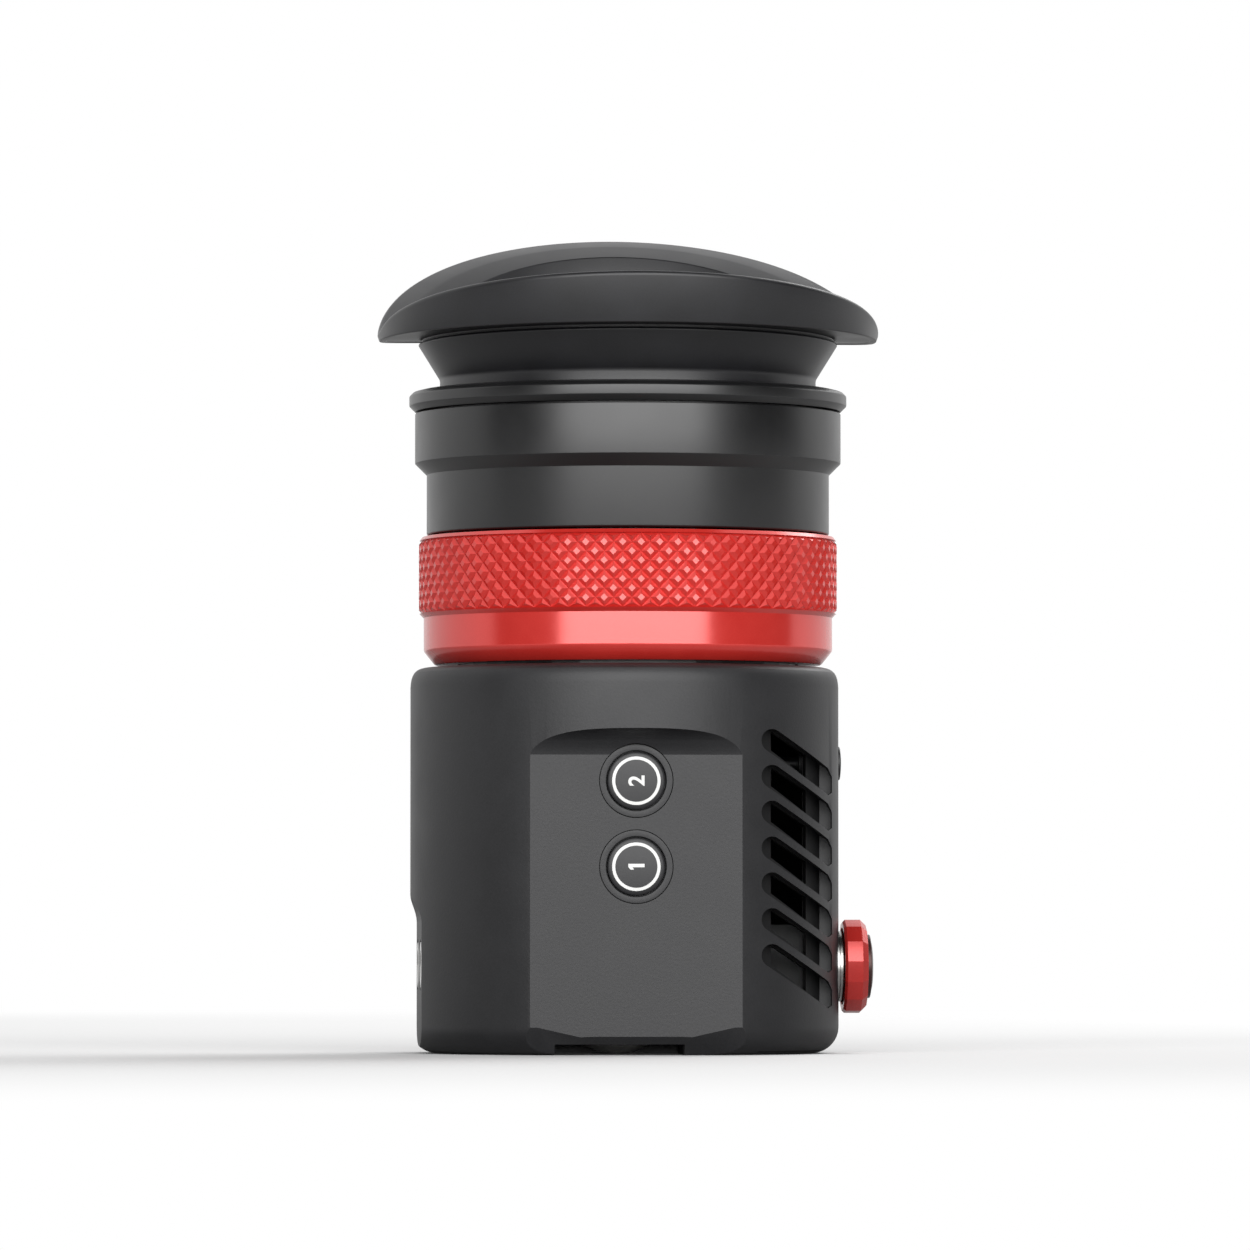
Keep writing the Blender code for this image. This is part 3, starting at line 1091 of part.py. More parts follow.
def buttons():
    face = PANEL_DISTANCE
    bezel_low = face - BUTTON_BEZEL_THICKNESS
    flange_high = bezel_low - SEAT_GAP
    flange_low = flange_high - BUTTON_FLANGE_THICKNESS
    switch_top = KEY_BOARD_DISTANCE + SEAT_GAP + SWITCH_HEIGHT + SWITCH_PLUNGER_HEIGHT
    stem_end = switch_top + BUTTON_TRAVEL + SEAT_GAP
    for index, height in enumerate(BUTTON_HEIGHTS):
        place = (HOUSING_OFFSET, 0, height)
        finish(tube(BUTTON_BEZEL_RADIUS, BUTTON_BEZEL_BORE, bezel_low, face, MEDIUM_STEPS),
               f'button_bezel_{index + 1}', black_anodised(), place, TO_MINUS_Y)
        top = face + BUTTON_PROUD
        profile = [(0, stem_end), (BUTTON_STEM_RADIUS, stem_end), (BUTTON_STEM_RADIUS, flange_low),
                   (BUTTON_FLANGE_RADIUS, flange_low), (BUTTON_FLANGE_RADIUS, flange_high),
                   (BUTTON_RADIUS, flange_high), (BUTTON_RADIUS, top - BUTTON_EDGE),
                   (BUTTON_RADIUS - BUTTON_EDGE, top), (0, top)]
        finish(turned(profile, SMALL_STEPS), f'button_{index + 1}', black_plastic(), place, TO_MINUS_Y)
        switch(f'key_switch_{index + 1}', (HOUSING_OFFSET, -KEY_BOARD_DISTANCE - SEAT_GAP, height),
               TO_MINUS_Y)
    half = KEY_BOARD_WIDTH / 2
    board = block((HOUSING_OFFSET - half, -KEY_BOARD_DISTANCE, KEY_BOARD_BOTTOM),
                  (HOUSING_OFFSET + half, -KEY_BOARD_DISTANCE + BOARD_THICKNESS, KEY_BOARD_TOP))
    finish(board, 'key_board', circuit_board())


def switch(name, place, turn):
    half = SWITCH_SIZE / 2
    body = finish(block((-half, -half, 0), (half, half, SWITCH_HEIGHT)), name, black_plastic(),
                  place, turn)
    plunger = disc(SWITCH_PLUNGER_RADIUS, SWITCH_HEIGHT / 2, SWITCH_HEIGHT + SWITCH_PLUNGER_HEIGHT,
                   TINY_STEPS)
    combine(body, cutter(plunger, name + '_plunger', place, turn), 'UNION')


def side_key():
    top = SIDE_SURFACE + SIDE_KEY_PROUD
    low = SIDE_KEY_FLANGE_DISTANCE
    switch_base = SIDE_BOARD_DISTANCE + BOARD_THICKNESS + SEAT_GAP
    stem_end = switch_base + SWITCH_HEIGHT + SWITCH_PLUNGER_HEIGHT + SIDE_KEY_TRAVEL + SEAT_GAP
    flange_top = low + SIDE_KEY_FLANGE_THICKNESS
    profile = [(0, stem_end), (SIDE_KEY_STEM_RADIUS, stem_end), (SIDE_KEY_STEM_RADIUS, low),
               (SIDE_KEY_FLANGE_RADIUS, low), (SIDE_KEY_FLANGE_RADIUS, flange_top),
               (SIDE_KEY_RADIUS, flange_top), (SIDE_KEY_RADIUS, top - SIDE_KEY_DOME),
               (SIDE_KEY_RADIUS / 2, top - SIDE_KEY_DOME / 4), (0, top)]
    finish(turned(profile, SMALL_STEPS), 'side_key', black_plastic(), (0, 0, SIDE_KEY_HEIGHT),
           TO_PLUS_X)
    switch('side_switch', (switch_base, 0, SIDE_KEY_HEIGHT), TO_PLUS_X)
    half = SIDE_BOARD_WIDTH / 2
    board = block((SIDE_BOARD_DISTANCE, -half, SIDE_BOARD_BOTTOM),
                  (SIDE_BOARD_DISTANCE + BOARD_THICKNESS, half, SIDE_BOARD_TOP))
    finish(board, 'side_board', circuit_board())


def encoder():
    """Rotary encoder clamped to the housing wall by its nut, with a push plunger."""
    place = (0, 0, DIAL_HEIGHT)
    back = ENCODER_FRONT_DISTANCE - ENCODER_DEPTH
    half = ENCODER_SIZE / 2
    bushing_end = DIAL_START + DIAL_BACK_DEPTH - DIAL_TRAVEL - SEAT_GAP - SEAT_GAP
    body = finish(block((-half, -half, back), (half, half, ENCODER_FRONT_DISTANCE)), 'encoder_body',
                  black_plastic(), place, TO_PLUS_X)
    bushing = disc(ENCODER_BUSHING_RADIUS, ENCODER_FRONT_DISTANCE - OVERRUN, bushing_end)
    combine(body, cutter(bushing, 'encoder_bushing', place, TO_PLUS_X), 'UNION')
    chamber_low = back + ENCODER_CHAMBER_FLOOR
    chamber_high = chamber_low + ENCODER_CHAMBER_DEPTH
    bore = ENCODER_SHAFT_RADIUS + SEAT_GAP
    profile = [(0, chamber_low), (ENCODER_CHAMBER_RADIUS, chamber_low),
               (ENCODER_CHAMBER_RADIUS, chamber_high), (bore, chamber_high),
               (bore, bushing_end + OVERRUN), (0, bushing_end + OVERRUN)]
    cut(body, cutter(turned(profile, SMALL_STEPS), 'encoder_bore', place, TO_PLUS_X))
    plunger_low = chamber_low + DIAL_TRAVEL + SEAT_GAP
    plunger_high = plunger_low + ENCODER_PLUNGER_THICKNESS
    finish(disc(ENCODER_CHAMBER_RADIUS - SEAT_GAP, plunger_low, plunger_high), 'encoder_plunger',
           white_plastic(), place, TO_PLUS_X)
    shaft_end = DIAL_START + DIAL_THICKNESS - DIAL_CAP_SEAT - SEAT_GAP
    finish(disc(ENCODER_SHAFT_RADIUS, plunger_high + SEAT_GAP, shaft_end), 'encoder_shaft', steel(),
           place, TO_PLUS_X)
    nut_low = SIDE_SURFACE - SPOT_FACE_DEPTH + SEAM_GAP
    nut_high = nut_low + ENCODER_NUT_THICKNESS
    edge = ENCODER_NUT_EDGE
    nut_bore = ENCODER_BUSHING_RADIUS + SEAT_GAP
    profile = [(nut_bore, nut_low), (ENCODER_NUT_RADIUS, nut_low), (ENCODER_NUT_RADIUS, nut_high - edge),
               (ENCODER_NUT_RADIUS - edge, nut_high), (nut_bore, nut_high)]
    finish(turned(profile, MEDIUM_STEPS), 'encoder_nut', steel(), place, TO_PLUS_X)


def jog_dial():
    place = (0, 0, DIAL_HEIGHT)
    end = DIAL_START + DIAL_THICKNESS
    core = DIAL_RADIUS - DIAL_BEVEL
    profile = [(0, DIAL_START), (core, DIAL_START), (DIAL_RADIUS, DIAL_START + DIAL_BEVEL),
               (DIAL_RADIUS, end - DIAL_BEVEL), (core, end), (0, end)]
    dial = finish(turned(profile, DIAL_FACETS), 'jog_dial', red_anodised(), place, TO_PLUS_X)
    shaft_bore = ENCODER_SHAFT_RADIUS + SEAT_GAP
    back_floor = DIAL_START + DIAL_BACK_DEPTH
    seat = end - DIAL_CAP_SEAT
    profile = [(0, DIAL_START - OVERRUN), (DIAL_BACK_BORE, DIAL_START - OVERRUN),
               (DIAL_BACK_BORE, back_floor), (shaft_bore, back_floor), (shaft_bore, seat),
               (DIAL_CAP_RADIUS + SEAM_GAP, seat), (DIAL_CAP_RADIUS + SEAM_GAP, end + OVERRUN),
               (0, end + OVERRUN)]
    cut(dial, cutter(turned(profile, MEDIUM_STEPS), 'dial_bore', place, TO_PLUS_X))
    low = seat + SEAM_GAP
    rim = end + DIAL_CAP_PROUD
    profile = [(0, low), (DIAL_CAP_RADIUS, low), (DIAL_CAP_RADIUS, rim), (DIAL_CAP_DOME_RADIUS, rim),
               (DIAL_CAP_DOME_RADIUS / 2, rim + DIAL_CAP_DOME * 3 / 4), (0, rim + DIAL_CAP_DOME)]
    finish(turned(profile, SMALL_STEPS), 'dial_cap', red_anodised(), place, TO_PLUS_X)


def display():
    """Carrier under the housing's top with a light hood down to the display's window."""
    high = CAVITY_TOP - SEAT_GAP
    plate_low = CARRIER_PLATE_BOTTOM
    plate_high = plate_low + CARRIER_PLATE_THICKNESS
    half = CARRIER_PLATE_SIZE / 2
    carrier = finish(block((HOUSING_OFFSET - half, -half, plate_low),
                           (HOUSING_OFFSET + half, half, plate_high)), 'display_carrier',
                     black_plastic())
    bore = HOOD_RADIUS - HOOD_WALL
    profile = [(0, plate_high - CARRIER_PLATE_THICKNESS / 2),
               (HOOD_RADIUS - SEAT_GAP, plate_high - CARRIER_PLATE_THICKNESS / 2),
               (HOOD_RADIUS, high - CARRIER_THICKNESS), (CARRIER_RADIUS, high - CARRIER_THICKNESS),
               (CARRIER_RADIUS, high), (0, high)]
    combine(carrier, cutter(turned(profile, MEDIUM_STEPS), 'carrier_hood'), 'UNION')
    cut(carrier, cutter(disc(bore, plate_high, high + OVERRUN, MEDIUM_STEPS), 'carrier_bore'))
    wide, deep = DISPLAY_WINDOW
    cut(carrier, cutter(block((-wide / 2, -deep / 2, plate_low - OVERRUN),
                              (wide / 2, deep / 2, plate_high + OVERRUN)), 'display_window'))
    wide, deep = DISPLAY_SIZE
    panel_high = plate_low - SEAT_GAP
    panel_low = panel_high - DISPLAY_THICKNESS
    finish(block((-wide / 2, -deep / 2, panel_low), (wide / 2, deep / 2, panel_high)),
           'display_panel', black_plastic())
    flex(panel_low - SEAT_GAP, wide / 2)


def flex(start_high, panel_edge):
    """Ribbon from under the display, round one bend, down to the main board."""
    end_low = MAIN_BOARD_TOP + SEAT_GAP
    outer = FLEX_BEND
    inner = outer - FLEX_THICKNESS
    upper = (-FLEX_REACH + outer, start_high - outer)
    lower = (-FLEX_REACH + outer, end_low + outer)
    end_x = -panel_edge + FLEX_OVERLAP
    outline = [(end_x, start_high)]
    outline += arc(upper, outer, pi / 2, pi, FLEX_BEND_STEPS)
    outline += arc(lower, outer, pi, 3 * pi / 2, FLEX_BEND_STEPS)
    outline += [(end_x, end_low), (end_x, end_low + FLEX_THICKNESS)]
    outline += arc(lower, inner, 3 * pi / 2, pi, FLEX_BEND_STEPS)
    outline += arc(upper, inner, pi, pi / 2, FLEX_BEND_STEPS)
    outline += [(end_x, start_high - FLEX_THICKNESS)]
    finish(prism(outline, -FLEX_WIDTH / 2, FLEX_WIDTH / 2), 'display_flex', amber_film(),
           (0, 0, 0), TO_MINUS_Y)


def main_board():
    half = MAIN_BOARD_SIZE / 2
    low = MAIN_BOARD_TOP - MAIN_BOARD_THICKNESS
    finish(block((HOUSING_OFFSET - half, -half, low), (HOUSING_OFFSET + half, half, MAIN_BOARD_TOP)),
           'main_board', circuit_board())
    spread = STANDOFF_SPACING / 2
    corners = [(-1, -1), (1, -1), (1, 1), (-1, 1)]
    for index, (side_x, side_y) in enumerate(corners):
        post = disc(STANDOFF_RADIUS, MAIN_BOARD_TOP + SEAT_GAP,
                    MAIN_BOARD_TOP + SEAT_GAP + STANDOFF_LENGTH, 6)
        finish(post, f'standoff_{index + 1}', brass(),
               (HOUSING_OFFSET + side_x * spread, side_y * spread, 0))
    half = PROCESSOR_SIZE / 2
    chip_high = low - SEAT_GAP
    chip_low = chip_high - PROCESSOR_THICKNESS
    finish(block((-half, -half, chip_low), (half, half, chip_high)), 'processor', black_plastic())
    heat_sink(chip_low - SEAT_GAP)


def heat_sink(high):
    """Comb of fins under the processor."""
    half = HEAT_SINK_SIZE / 2
    root = high - HEAT_SINK_BASE
    tip = high - HEAT_SINK_HEIGHT
    pitch = (HEAT_SINK_SIZE - HEAT_SINK_FIN) / (HEAT_SINK_FINS - 1)
    outline = [(-half, high)]
    for index in range(HEAT_SINK_FINS):
        x = -half + index * pitch
        outline += [(x, root), (x, tip), (x + HEAT_SINK_FIN, tip), (x + HEAT_SINK_FIN, root)]
    outline = [outline[0], *outline[2:-1], (half, high)]
    finish(prism(outline, -half, half), 'heat_sink', black_anodised(), (0, 0, 0), TO_MINUS_Y)


def video_jack():
    """Bayonet coaxial jack: shell through the wall, nut outside, insulator and contact."""
    place = (HOUSING_OFFSET, 0, VIDEO_JACK_HEIGHT)
    wall_in = SOCKET_FACE_DISTANCE - FLAT_WALL - SEAT_GAP
    back = wall_in - VIDEO_JACK_BODY_LENGTH
    mouth = SOCKET_FACE_DISTANCE + VIDEO_JACK_REACH
    floor = SOCKET_FACE_DISTANCE + VIDEO_BORE_FLOOR
    seat = VIDEO_INSULATOR_RADIUS + SEAT_GAP
    profile = [(0, back), (VIDEO_JACK_BODY_RADIUS, back), (VIDEO_JACK_BODY_RADIUS, wall_in),
               (VIDEO_JACK_RADIUS, wall_in), (VIDEO_JACK_RADIUS, mouth), (VIDEO_JACK_BORE, mouth),
               (VIDEO_JACK_BORE, floor), (seat, floor), (seat, wall_in), (0, wall_in)]
    shell = finish(turned(profile, SMALL_STEPS), 'video_jack', steel(), place, TO_PLUS_Y)
    for index in range(2):
        reach = VIDEO_JACK_RADIUS + VIDEO_JACK_LUG_HEIGHT
        spot = Vector((HOUSING_OFFSET, mouth - VIDEO_JACK_LUG_DISTANCE, VIDEO_JACK_HEIGHT))
        lug = disc(VIDEO_JACK_LUG_RADIUS, VIDEO_JACK_RADIUS - VIDEO_JACK_LUG_HEIGHT / 2, reach,
                   TINY_STEPS)
        combine(shell, cutter(lug, f'video_jack_lug_{index}', spot, (TO_PLUS_X, TO_MINUS_X)[index]),
                'UNION')
    nut = prism([(VIDEO_JACK_NUT_RADIUS * cos(tau * i / 6), VIDEO_JACK_NUT_RADIUS * sin(tau * i / 6))
                 for i in range(6)], SOCKET_FACE_DISTANCE + SEAM_GAP,
                SOCKET_FACE_DISTANCE + SEAM_GAP + VIDEO_JACK_NUT_THICKNESS)
    nut = finish(nut, 'video_jack_nut', steel(), place, TO_PLUS_Y)
    cut(nut, cutter(disc(VIDEO_JACK_RADIUS + SEAT_GAP, wall_in, mouth), 'video_nut_bore', place,
                    TO_PLUS_Y))
    tip = mouth - VIDEO_INSULATOR_SETBACK
    low = wall_in + SEAT_GAP
    profile = [(0, low), (VIDEO_INSULATOR_RADIUS, low), (VIDEO_INSULATOR_RADIUS, tip),
               (VIDEO_INSULATOR_BORE, tip), (VIDEO_INSULATOR_BORE, floor), (0, floor)]
    finish(turned(profile, SMALL_STEPS), 'video_jack_insulator', white_plastic(), place, TO_PLUS_Y)
    finish(disc(VIDEO_CONTACT_RADIUS, floor + SEAT_GAP, tip - SEAT_GAP, TINY_STEPS),
           'video_jack_contact', brass(), place, TO_PLUS_Y)


def power_socket():
    """Round push-pull socket with a two-pole insert."""
    place = (HOUSING_OFFSET, 0, POWER_SOCKET_HEIGHT)
    face = SOCKET_FACE_DISTANCE + SEAM_GAP
    mouth = face + POWER_SOCKET_FLANGE
    back = face - FLAT_WALL - POWER_SOCKET_BODY
    floor = back + POWER_SOCKET_FLOOR
    edge = SEAT_GAP
    profile = [(0, back), (POWER_SOCKET_RADIUS, back), (POWER_SOCKET_RADIUS, face),
               (POWER_SOCKET_FLANGE_RADIUS, face), (POWER_SOCKET_FLANGE_RADIUS, mouth - edge),
               (POWER_SOCKET_FLANGE_RADIUS - edge, mouth), (POWER_SOCKET_BORE, mouth),
               (POWER_SOCKET_BORE, floor), (0, floor)]
    finish(turned(profile, SMALL_STEPS), 'power_socket', steel(), place, TO_PLUS_Y)
    insert = finish(disc(POWER_SOCKET_BORE - SEAT_GAP, floor + SEAT_GAP, mouth - POWER_SOCKET_SETBACK),
                    'power_socket_insert', black_plastic(), place, TO_PLUS_Y)
    for index, side in enumerate((-1, 1)):
        spot = (HOUSING_OFFSET + side * POWER_PIN_SPACING / 2, 0, POWER_SOCKET_HEIGHT)
        hole = disc(POWER_PIN_HOLE_RADIUS, SOCKET_FACE_DISTANCE, mouth, TINY_STEPS)
        cut(insert, cutter(hole, f'power_pin_hole_{index}', spot, TO_PLUS_Y))


def build():
    clear_scene()
    housing()
    front_cover()
    cover_screws()
    front_screw()
    mount_inserts()
    eyepiece_tube()
    friction_o_ring()
    diopter_ring()
    lens_cell()
    lens_stack()
    eyepiece_barrel()
    eyecup_ring()
    eyepiece_bezel()
    eyecup()
    buttons()
    side_key()
    encoder()
    jog_dial()
    display()
    main_board()
    video_jack()
    power_socket()


build()
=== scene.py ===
import json
import math
import bpy
import bmesh
from mathutils import Vector, Matrix

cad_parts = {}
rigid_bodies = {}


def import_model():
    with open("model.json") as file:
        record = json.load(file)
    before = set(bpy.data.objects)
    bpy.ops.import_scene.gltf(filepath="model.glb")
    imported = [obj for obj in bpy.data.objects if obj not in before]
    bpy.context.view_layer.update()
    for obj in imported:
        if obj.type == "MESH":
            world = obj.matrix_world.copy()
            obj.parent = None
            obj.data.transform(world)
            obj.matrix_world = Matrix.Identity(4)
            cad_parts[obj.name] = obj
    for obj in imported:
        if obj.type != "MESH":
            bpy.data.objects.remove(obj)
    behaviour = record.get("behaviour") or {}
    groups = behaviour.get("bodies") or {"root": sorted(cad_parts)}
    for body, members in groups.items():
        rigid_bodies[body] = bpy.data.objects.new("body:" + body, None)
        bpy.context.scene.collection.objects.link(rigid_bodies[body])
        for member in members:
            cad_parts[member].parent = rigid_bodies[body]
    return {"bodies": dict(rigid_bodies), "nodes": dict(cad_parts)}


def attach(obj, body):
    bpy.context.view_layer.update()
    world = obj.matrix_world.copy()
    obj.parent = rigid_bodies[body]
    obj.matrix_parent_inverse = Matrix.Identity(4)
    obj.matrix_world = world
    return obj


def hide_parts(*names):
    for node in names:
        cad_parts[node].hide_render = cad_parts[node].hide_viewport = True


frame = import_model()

mm = 0.001
ours = set(frame["nodes"].values()) | set(frame["bodies"].values())
for other in [thing for thing in bpy.data.objects if thing not in ours]:
    bpy.data.objects.remove(other)
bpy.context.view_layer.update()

# the whole viewfinder, in millimetres: the optical axis is upright through 0, 0, and the base stands on 0
viewfinder = {
    "housingMiddle": -0.5,
    "housingRadius": 31.0,
    "housingHeight": 55.6,
    "panelDistance": 27.07,
    "socketDistance": 27.91,
    "panelKeyHeights": (26.7, 38.9),
    "sideKeyHeight": 41.9,
    "dialHeight": 12.5,
    "insertHeight": 12.7,
    "insertSides": (-5, 5),
    "baseScrewX": -2.8,
    "jackHeight": 16.956,
    "powerHeight": 33.5,
}
xMiddle = viewfinder["housingMiddle"]
root = "viewfinder_body"


# small tools for modelling by hand, in millimetres

def deselectAll():
    bpy.ops.object.select_all(action='DESELECT')


def setMode(mode):
    bpy.ops.object.mode_set(mode=mode)


def selectAll():
    bpy.ops.mesh.select_all(action='SELECT')


def activate(piece):
    deselectAll()
    piece.select_set(True)
    bpy.context.view_layer.objects.active = piece


def pick(kind, test):
    # in edit mode: selects the vertices, edges or faces that pass the test
    bpy.ops.mesh.select_mode(type=kind)
    bpy.ops.mesh.select_all(action='DESELECT')
    shape = bmesh.from_edit_mesh(bpy.context.object.data)
    for part in {'VERT': shape.verts, 'EDGE': shape.edges, 'FACE': shape.faces}[kind]:
        if test(part):
            part.select_set(True)
    shape.select_flush_mode()
    bmesh.update_edit_mesh(bpy.context.object.data)


def traceOutline(name, points):
    # one vertex, extruded from point to point; it stays in edit mode
    deselectAll()
    bpy.ops.mesh.primitive_plane_add(size=mm)
    bpy.context.object.name = name
    setMode('EDIT')
    bpy.ops.mesh.select_mode(type='VERT')
    selectAll()
    bpy.ops.mesh.merge(type='CENTER')
    places = [Vector(point) * mm for point in points]
    bpy.ops.transform.translate(value=places[0])
    for start, end in zip(places, places[1:]):
        bpy.ops.mesh.extrude_vertices_move(TRANSFORM_OT_translate={"value": end - start})
    return bpy.context.object


def softened(profile, closed, steps):
    # a third number at a corner is the radius that rounds it off
    points = []
    count = len(profile)
    for index, corner in enumerate(profile):
        here = Vector(corner[:2])
        radius = corner[2] if len(corner) > 2 else 0
        if not radius or (not closed and index in (0, count - 1)):
            points.append(here)
            continue
        before = Vector(profile[index - 1][:2]) - here
        after = Vector(profile[(index + 1) % count][:2]) - here
        half = before.angle(after) / 2
        reach = min(radius / math.tan(half), 0.49 * before.length, 0.49 * after.length)
        middle = here + (before.normalized() + after.normalized()).normalized() * reach / math.cos(half)
        first = here + before.normalized() * reach - middle
        last = here + after.normalized() * reach - middle
        sweep = first.angle_signed(last)
        for step in range(steps + 1):
            points.append(middle + Matrix.Rotation(-sweep * step / steps, 2) @ first)
    return points


def lathe(name, profile, centre=(0, 0, 0), axis='Z', steps=96, roundSteps=4):
    # spins a profile of (radius, height) round an axis; heights run outwards along that axis,
    # and a profile that starts on the axis also ends there
    closed = profile[0][0] > 0
    along = {'Z': Vector((0, 0, 1)), 'X': Vector((1, 0, 0)), '-X': Vector((-1, 0, 0)),
             'Y': Vector((0, 1, 0)), '-Y': Vector((0, -1, 0))}[axis]
    out = Vector((1, 0, 0)) if axis == 'Z' else Vector((0, 0, 1))
    points = [Vector(centre) + out * radius + along * height
              for radius, height in softened(profile, closed, roundSteps)]
    if closed:
        points.append(points[0])
    piece = traceOutline(name, points)
    selectAll()
    bpy.ops.mesh.spin(steps=steps, angle=2 * math.pi, center=Vector(centre) * mm, axis=along)
    closeMesh()
    setMode('OBJECT')
    return piece


def plug(name, radius, low, high, centre, axis, steps=64):
    # a plain round solid, most often a tool that cuts a hole
    return lathe(name, [(0, low), (radius, low), (radius, high), (0, high)], centre, axis, steps)


def threadRings(bore, high, pitch, depth, flank, count=6):
    # the corners of thread rings on a bore, from the top down
    points = []
    for index in range(count):
        top = high - index * pitch
        points += [(bore, top), (bore + depth, top - flank)]
    return points


def closeMesh(threshold=0.001):
    bpy.ops.mesh.select_mode(type='VERT')
    selectAll()
    bpy.ops.mesh.remove_doubles(threshold=threshold * mm)
    bpy.ops.mesh.normals_make_consistent(inside=False)


def slab(name, corners, push):
    # a flat outline, filled and pushed out into a solid
    piece = traceOutline(name, corners)
    selectAll()
    bpy.ops.mesh.edge_face_add()
    bpy.ops.mesh.extrude_region_move(TRANSFORM_OT_translate={"value": Vector(push) * mm})
    closeMesh()
    setMode('OBJECT')
    return piece


def arcPoints(centre, radius, start, end, steps):
    return [(centre[0] + radius * math.cos(start + (end - start) * step / steps),
             centre[1] + radius * math.sin(start + (end - start) * step / steps)) for step in range(steps + 1)]


def joinCutter(piece, tool, how='DIFFERENCE'):
    activate(piece)
    step = piece.modifiers.new(how.lower(), 'BOOLEAN')
    step.object, step.operation, step.solver = tool, how, 'EXACT'
    bpy.ops.object.modifier_apply(modifier=step.name)
    bpy.data.objects.remove(tool)


def cutWith(piece, *tools):
    for tool in tools:
        joinCutter(piece, tool)


def bevelEdges(piece, width, angle=35, segments=2):
    activate(piece)
    step = piece.modifiers.new('edgeBreak', 'BEVEL')
    step.width, step.segments = width * mm, segments
    step.limit_method, step.angle_limit = 'ANGLE', math.radians(angle)
    bpy.ops.object.modifier_apply(modifier=step.name)


def copyPiece(piece, name, shift):
    # a copy with its own mesh, moved by a shift
    activate(piece)
    bpy.ops.object.duplicate(linked=False)
    twin = bpy.context.object
    twin.name = name
    bpy.ops.transform.translate(value=Vector(shift) * mm)
    bpy.ops.object.transform_apply()
    return twin


def finishPiece(piece, body, surface, stands=(), smooth=30):
    # a finished piece rides on its body and stands in for the nodes named in stands
    activate(piece)
    bpy.ops.object.transform_apply()
    bpy.ops.object.shade_smooth_by_angle(angle=math.radians(smooth))
    piece.data.materials.clear()
    piece.data.materials.append(surface)
    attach(piece, body)
    if stands:
        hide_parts(*stands)


# materials

def srgb(code):
    def linear(value):
        return value / 12.92 if value <= 0.04045 else ((value + 0.055) / 1.055) ** 2.4
    return (*(linear(int(code[i:i + 2], 16) / 255) for i in (1, 3, 5)), 1.0)


def newMaterial(name):
    material = bpy.data.materials.new(name)
    material.use_nodes = True
    return material, material.node_tree, material.node_tree.nodes["Principled BSDF"]


def addNode(tree, kind, settings=None, values=None, links=None):
    # one node with its settings, its unlinked values and the sockets that feed it
    node = tree.nodes.new('ShaderNode' + kind)
    for key, value in (settings or {}).items():
        setattr(node, key, value)
    for key, value in (values or {}).items():
        node.inputs[key].default_value = value
    for key, source in (links or {}).items():
        tree.links.new(source, node.inputs[key])
    return node


def perMetre(size):
    # a noise scale whose grains are about this many millimetres wide
    return 1 / (size * mm)


def setShader(shader, **values):
    names = {"colour": "Base Color", "metal": "Metallic", "rough": "Roughness", "ior": "IOR",
             "gloss": "Specular IOR Level", "coat": "Coat Weight", "coatRough": "Coat Roughness",
             "clear": "Transmission Weight"}
    for key, value in values.items():
        shader.inputs[names[key]].default_value = value


# shared by all grained finishes: widths in mm, the span of noise that the colours fill, tool marks, roughness
grain = {"drift": 6, "toolMark": 0.12, "span": (0.76, 1.24), "alongRing": 30, "roughDrift": 0.05}


def grainedFinish(name, dark, light, width, bump, rough, depth=0.02, turned=False, turnAxis='Z', **values):
    # a colour that drifts a little, a fine grain in the bump and, on turned work, rings of tool marks
    material, tree, shader = newMaterial(name)
    place = addNode(tree, 'TexCoord').outputs["Object"]
    drift = addNode(tree, 'TexNoise', values={"Scale": perMetre(grain["drift"]), "Detail": 3},
                    links={"Vector": place})
    fine = addNode(tree, 'TexNoise', values={"Scale": perMetre(width), "Detail": 2, "Roughness": 0.6},
                   links={"Vector": place})
    mixed = addNode(tree, 'Math', settings={"operation": 'ADD'},
                    links={0: drift.outputs["Fac"], 1: fine.outputs["Fac"]})
    share = addNode(tree, 'MapRange', values={"From Min": grain["span"][0], "From Max": grain["span"][1]},
                    links={"Value": mixed.outputs[0]})
    tone = addNode(tree, 'Mix', settings={"data_type": 'RGBA'}, values={6: srgb(dark), 7: srgb(light)},
                   links={0: share.outputs["Result"]})
    tree.links.new(tone.outputs[2], shader.inputs["Base Color"])
    height = fine.outputs["Fac"]
    if turned:
        stretch = [grain["alongRing"]] * 3
        stretch['XYZ'.index(turnAxis)] = perMetre(grain["toolMark"])
        mapped = addNode(tree, 'Mapping', values={"Scale": stretch}, links={"Vector": place})
        rings = addNode(tree, 'TexNoise', values={"Scale": 1.0, "Detail": 1}, links={"Vector": mapped.outputs[0]})
        height = addNode(tree, 'Math', settings={"operation": 'ADD'},
                         links={0: fine.outputs["Fac"], 1: rings.outputs["Fac"]}).outputs[0]
    swell = addNode(tree, 'MapRange',
                    values={"To Min": rough - grain["roughDrift"], "To Max": rough + grain["roughDrift"]},
                    links={"Value": drift.outputs["Fac"]})
    tree.links.new(swell.outputs["Result"], shader.inputs["Roughness"])
    relief = addNode(tree, 'Bump', values={"Strength": bump, "Distance": depth * mm}, links={"Height": height})
    tree.links.new(relief.outputs["Normal"], shader.inputs["Normal"])
    setShader(shader, **values)
    return material


# matt black coat, sprayed over machined aluminium: a fine sandy grain that scatters the light
mattBlackCoat = grainedFinish("mattBlackCoat", "#161618", "#1C1C1E", 0.35, 0.5, 0.50, depth=0.03)
# painted shade: the same coat made dull and darker on the floors of the vents, standing in for the shade in those
# recesses
thinBlackCoat = grainedFinish("thinBlackCoat", "#111112", "#151516", 0.35, 0.3, 0.70, depth=0.02, gloss=0.3)
